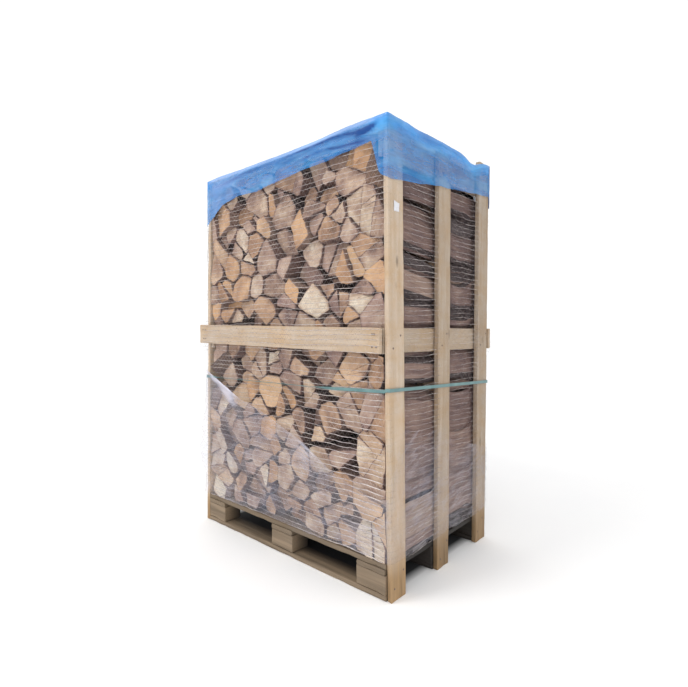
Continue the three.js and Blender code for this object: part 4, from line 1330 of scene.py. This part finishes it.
def make_stretch_film(material):
    """A band of clear film round the lower half, from just over the deck to a slanting upper edge that is
    gathered into a rope at the left. Tension folds run parallel to that edge."""
    rng = np.random.default_rng(14)
    rows = 30
    base = hull(np.array([0.5]), 0.0, *FILM_STEPS)[0][0]
    count = len(base)
    high = film_top_heights(base)
    low = float(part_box("stretch_film")[0][2]) + 0.004 * (1 + waves(base, 10, 0.05, 0.3, rng))
    share = np.linspace(0, 1, rows)[:, None] ** 0.75
    z = low + (high - low) * share
    skin, long_side = hull_rings(z, FILM_OFFSET, FILM_STEPS)
    x, y = skin[..., 0], skin[..., 1]
    below = high[None] - z
    slanted = np.stack([x * 0.5, y * 0.5, below * 2.2], axis=-1)
    fold = waves(slanted, 14, 0.07, 0.3, rng)
    fine = waves(np.stack([x, y, below], axis=-1) * (0.4, 0.4, 1.6), 14, 0.02, 0.07, rng)
    amount = (0.0022 * (fold + 1) + 0.0010 * (fine + 1)) * np.where(long_side > 0, 1.0, 0.35)
    loose = bump_at(x, -0.63, 0.10) * bump_at(z, 0.42, 0.17)
    amount = amount * (1 - over_rail(z)) + 0.022 * loose * (1 + 0.4 * fold)
    out = np.stack([np.where(long_side > 0, 0.0, np.sign(x)[0]),
                    np.where(long_side > 0, np.sign(y)[0], 0.0)], axis=-1)
    out = out[None] + loose[..., None] * np.array([-0.8, 0.0])
    skin = skin + out * amount[..., None]
    points = np.concatenate([skin, z[..., None]], axis=-1)
    quads = grid_quads(1, rows, count)

    along = distance_round(base)
    depth = np.concatenate([below, below[:, :1]], axis=1)
    uv = grid_uv(stacked(along[None], depth)[None])

    # Haze: a base veil, the bright rope and its fan at the left of the front, veils at the right end, and a
    # patch of painted sheen in the right end's back bay.
    front = (long_side > 0)[None] & (y < 0)
    right = (long_side == 0)[None] & (x > 0)
    streak = smooth_step(0.5 + 0.6 * waves(slanted * (1.2, 1.2, 3.0), 16, 0.03, 0.14, rng))
    haze_and_sheen = 0.05 + 0.05 * streak + 0.07 * front
    rope_width = 0.012 + 0.09 * np.clip((x + 0.60) / 0.30, 0, 1)
    rope = smooth_step(1.2 - below / rope_width) * smooth_step((-0.30 - x) / 0.10)
    haze_and_sheen = np.where(front, haze_and_sheen + 0.50 * rope * (0.7 + 0.5 * streak), haze_and_sheen)
    fan = bump_at(x, 0.17, 0.06) * bump_at(z, 0.50, 0.07)
    haze_and_sheen = np.where(front, haze_and_sheen + 0.16 * fan * (0.5 + streak), haze_and_sheen)
    edge = smooth_step(1 - below / 0.020)
    haze_and_sheen = haze_and_sheen + 0.10 * edge * np.where(front, smooth_step((0.45 - x) / 0.2), 0.3)
    veil = smooth_step((0.62 - z) / 0.12)
    # Painted sheen: a pale patch on the film in the right end's back bay, about half a metre up.
    painted_sheen_patch = 0.16 * bump_at(y, 0.25, 0.06) * bump_at(z, 0.53 + 0.5 * (y - 0.25), 0.05)
    haze_and_sheen = np.where(right, (haze_and_sheen + veil * 0.02) * smooth_step(below / 0.10) + painted_sheen_patch, haze_and_sheen)
    values = {"haze_and_sheen": np.clip(haze_and_sheen, 0, 0.85).ravel()}
    film = make_piece("stretch_film_sheet", points.reshape(-1, 3), [quads], material, ["stretch_film"],
                      uv, values)


# ---- Strap ----
STRAP_WIDTH = 0.0135
STRAP_THICKNESS = 0.0009
STRAP_OFFSET = 0.0044
STRAP_STEPS = (90, 10)


def make_strap(material):
    """A flat strap round the crate. It lies on the posts, and on the front it twists till it is edge-on."""
    path = hull(np.array([STRAP_HEIGHT]), STRAP_OFFSET, *STRAP_STEPS)[0][0]
    x, y = path.T
    rise = np.where(y < -0.39, np.interp(x, [-0.6, 0.33, 0.6], [-0.004, 0.002, 0.010]), 0)
    rise = np.where(x > 0.60, np.interp(y, [-0.4, 0.4], [0.015, -0.013]), rise)
    rise = np.where(y > 0.385, np.interp(x, [-0.6, 0.6], [0.004, -0.013]), rise)
    rise = np.where(x < -0.60, np.interp(y, [-0.4, 0.4], [-0.004, 0.004]), rise)
    z = STRAP_HEIGHT + rise
    edge_on = smooth_step((0.42 - x) / 0.26) * smooth_step((x + 0.56) / 0.10)
    twist = np.where(y < -0.39, edge_on, 0) * np.pi / 2
    ahead = np.roll(path, -1, axis=0) - np.roll(path, 1, axis=0)
    ahead /= np.linalg.norm(ahead, axis=1, keepdims=True)
    out = np.stack([ahead[:, 1], -ahead[:, 0]], axis=1)
    lift = np.sin(twist) * STRAP_WIDTH / 2
    corners = []
    for across, deep in ((-1, -1), (1, -1), (1, 1), (-1, 1)):
        w, t = across * STRAP_WIDTH / 2, deep * STRAP_THICKNESS / 2
        level = w * np.sin(twist) + t * np.cos(twist) + lift
        height = w * np.cos(twist) - t * np.sin(twist)
        corners.append(np.column_stack([path + out * level[:, None], z + height]))
    points = np.stack(corners, axis=1)
    count = len(path)
    quads = loop_quads(1, count, 4)[:, ::-1]
    along = distance_round(path)
    v = np.array([0, STRAP_WIDTH, STRAP_WIDTH, 0, 0])
    grid = stacked(along[:, None], v[None])
    uv = np.stack([grid[:-1, :-1], grid[1:, :-1], grid[1:, 1:], grid[:-1, 1:]], axis=2)
    uv = uv[:, :, ::-1].reshape(-1, 2)
    make_piece("strap_band", points.reshape(-1, 3), [quads], material, ["strap"], uv, smooth=False)


# ---- Nails and the paper scrap ----
NAIL_LEVELS = ((0.045, 0.10), (0.965, 1.015), (1.705, 1.755))  # in the posts, two at each level
RAIL_NAILS = (-0.606, -0.590, 0.575, 0.562)  # along the long rails
RAIL_NAIL_RISES = (0.026, 0.074)  # over a long rail's lower edge


def nail_heads(places, normals):
    """Domed heads: rings of eight points that rise to a flat top, one for each place."""
    count, sides = len(places), 8
    radius = np.array([0.0040, 0.0040, 0.0030, 0.0012])
    height = np.array([-0.0010, 0.0006, 0.0011, 0.0012])
    angle = np.arange(sides) * 2 * np.pi / sides
    normals = normals / np.linalg.norm(normals, axis=1, keepdims=True)
    level = np.cross(normals, [0.3, 0.2, 1.0])
    level /= np.linalg.norm(level, axis=1, keepdims=True)
    other = np.cross(normals, level)
    around = level[:, None] * np.cos(angle)[:, None] + other[:, None] * np.sin(angle)[:, None]
    points = (places[:, None, None] + normals[:, None, None] * height[None, :, None, None]
              + around[:, None] * radius[None, :, None, None])
    shape = (count, len(radius), sides)
    return points.reshape(-1, 3), grid_quads(*shape), end_faces(*shape)


def make_nails(material):
    """Two nails through each post into every rail and into the pallet, and through the long rails' ends."""
    rng = np.random.default_rng(77)
    places, normals = [], []
    for (end, _), node in POSTS.items():
        sign = 1 if end == "right" else -1
        for low, high in NAIL_LEVELS:
            for z, side in ((low, 0.25), (high, 0.75)):
                z = z + rng.uniform(-0.006, 0.006)
                x, y0, y1 = along_post(node, sign, np.array(z))
                y = y0 + (y1 - y0) * (side + rng.uniform(-0.08, 0.08))
                places.append((float(x), float(y), z))
                normals.append((sign, 0, 0))
    for side, sign in (("front", -1), ("back", 1)):
        boxes, _ = end_boxes("mid_rail_" + side)
        for x in RAIL_NAILS:
            share = (x - boxes[0, 0, 0]) / (boxes[1, 0, 0] - boxes[0, 0, 0])
            low = boxes[0, 0, 2] + (boxes[1, 0, 2] - boxes[0, 0, 2]) * share
            y = boxes[0, 0 if sign < 0 else 1, 1]
            for up in RAIL_NAIL_RISES:
                places.append((x + rng.uniform(-0.006, 0.006), float(y), float(low) + up))
                normals.append((0, sign, 0))
    points, quads, ends = nail_heads(np.array(places), np.array(normals, float))
    make_piece("nails", points, [quads, ends], material)


def make_paper(material):
    """A torn scrap stapled to the near post: a thin closed sheet with ragged, curling edges."""
    rng = np.random.default_rng(4)
    rows, columns = 14, 12
    v, u = np.meshgrid(np.linspace(0, 1, rows), np.linspace(0, 1, columns), indexing="ij")
    y = -0.364 + 0.034 * u + 0.0014 * waves(np.stack([u, v], -1), 8, 0.15, 0.5, rng)
    z = 1.478 + 0.040 * v + 0.0016 * waves(np.stack([u, v], -1), 8, 0.15, 0.5, rng) - 0.008 * u * v
    x, _, _ = along_post(POSTS["right", "front"], 1, z)
    curl = 0.0006 + 0.0016 * (np.abs(u - 0.5) * 2) ** 4 * v
    sheet = np.stack([x + curl, y, z], axis=-1)
    thick = np.stack([sheet, sheet + (0.0004, 0, 0)])
    quads = grid_quads(1, rows, columns, closed=False)
    back = quads[:, ::-1]
    front = quads + rows * columns
    index = np.arange(rows * columns).reshape(rows, columns)
    rim = np.concatenate([index[0, :-1], index[:-1, -1], index[-1, :0:-1], index[:0:-1, 0]])
    following = np.roll(rim, -1)
    side = np.stack([rim, following, following + rows * columns, rim + rows * columns], axis=1)
    make_piece("paper_scrap", thick.reshape(-1, 3), [back, front, side], material)


# ---- Floor ----
def make_floor(material):
    """A wide disc: rings of growing radius."""
    angle = np.linspace(0, 2 * np.pi, 64, endpoint=False)
    radii = np.array([0.3, 3.0, 12.0, 60.0])
    ring = directions(angle)
    points = np.concatenate([radii[:, None, None] * ring[None], np.full((4, 64, 1), -0.0006)], axis=-1)
    quads = grid_quads(1, 4, 64)[:, ::-1]
    mesh = bpy.data.meshes.new("floor")
    mesh.from_pydata(points.reshape(-1, 3).tolist(), [], quads.tolist() + [np.arange(64).tolist()])
    mesh.materials.append(material)
    floor = bpy.data.objects.new("floor", mesh)
    bpy.context.scene.collection.objects.link(floor)


place_camera()
light_the_scene()
frame_wood = make_board_material(
    "new_pine", pale=(0.695, 0.575, 0.455), dark=(0.53, 0.400, 0.280), grey=0.16, grime=0.55, height=0.22,
    soil=(0.53, 0.32, 0.135), shaded=0.0)
pallet_wood = make_board_material(
    "pallet_pine", pale=(0.46, 0.345, 0.215), dark=(0.27, 0.185, 0.105), grey=0.50, grime=0.70, height=0.12,
    soil=(0.31, 0.225, 0.145), shaded=0.92)
make_boards(frame_wood, pallet_wood)
make_firewood(make_log_material())
make_net(make_thread_material())
make_cap(make_cap_material())
make_stretch_film(make_film_material())
make_strap(make_strap_material())
make_nails(make_nail_material())
make_paper(make_paper_material())
make_floor(make_floor_material())
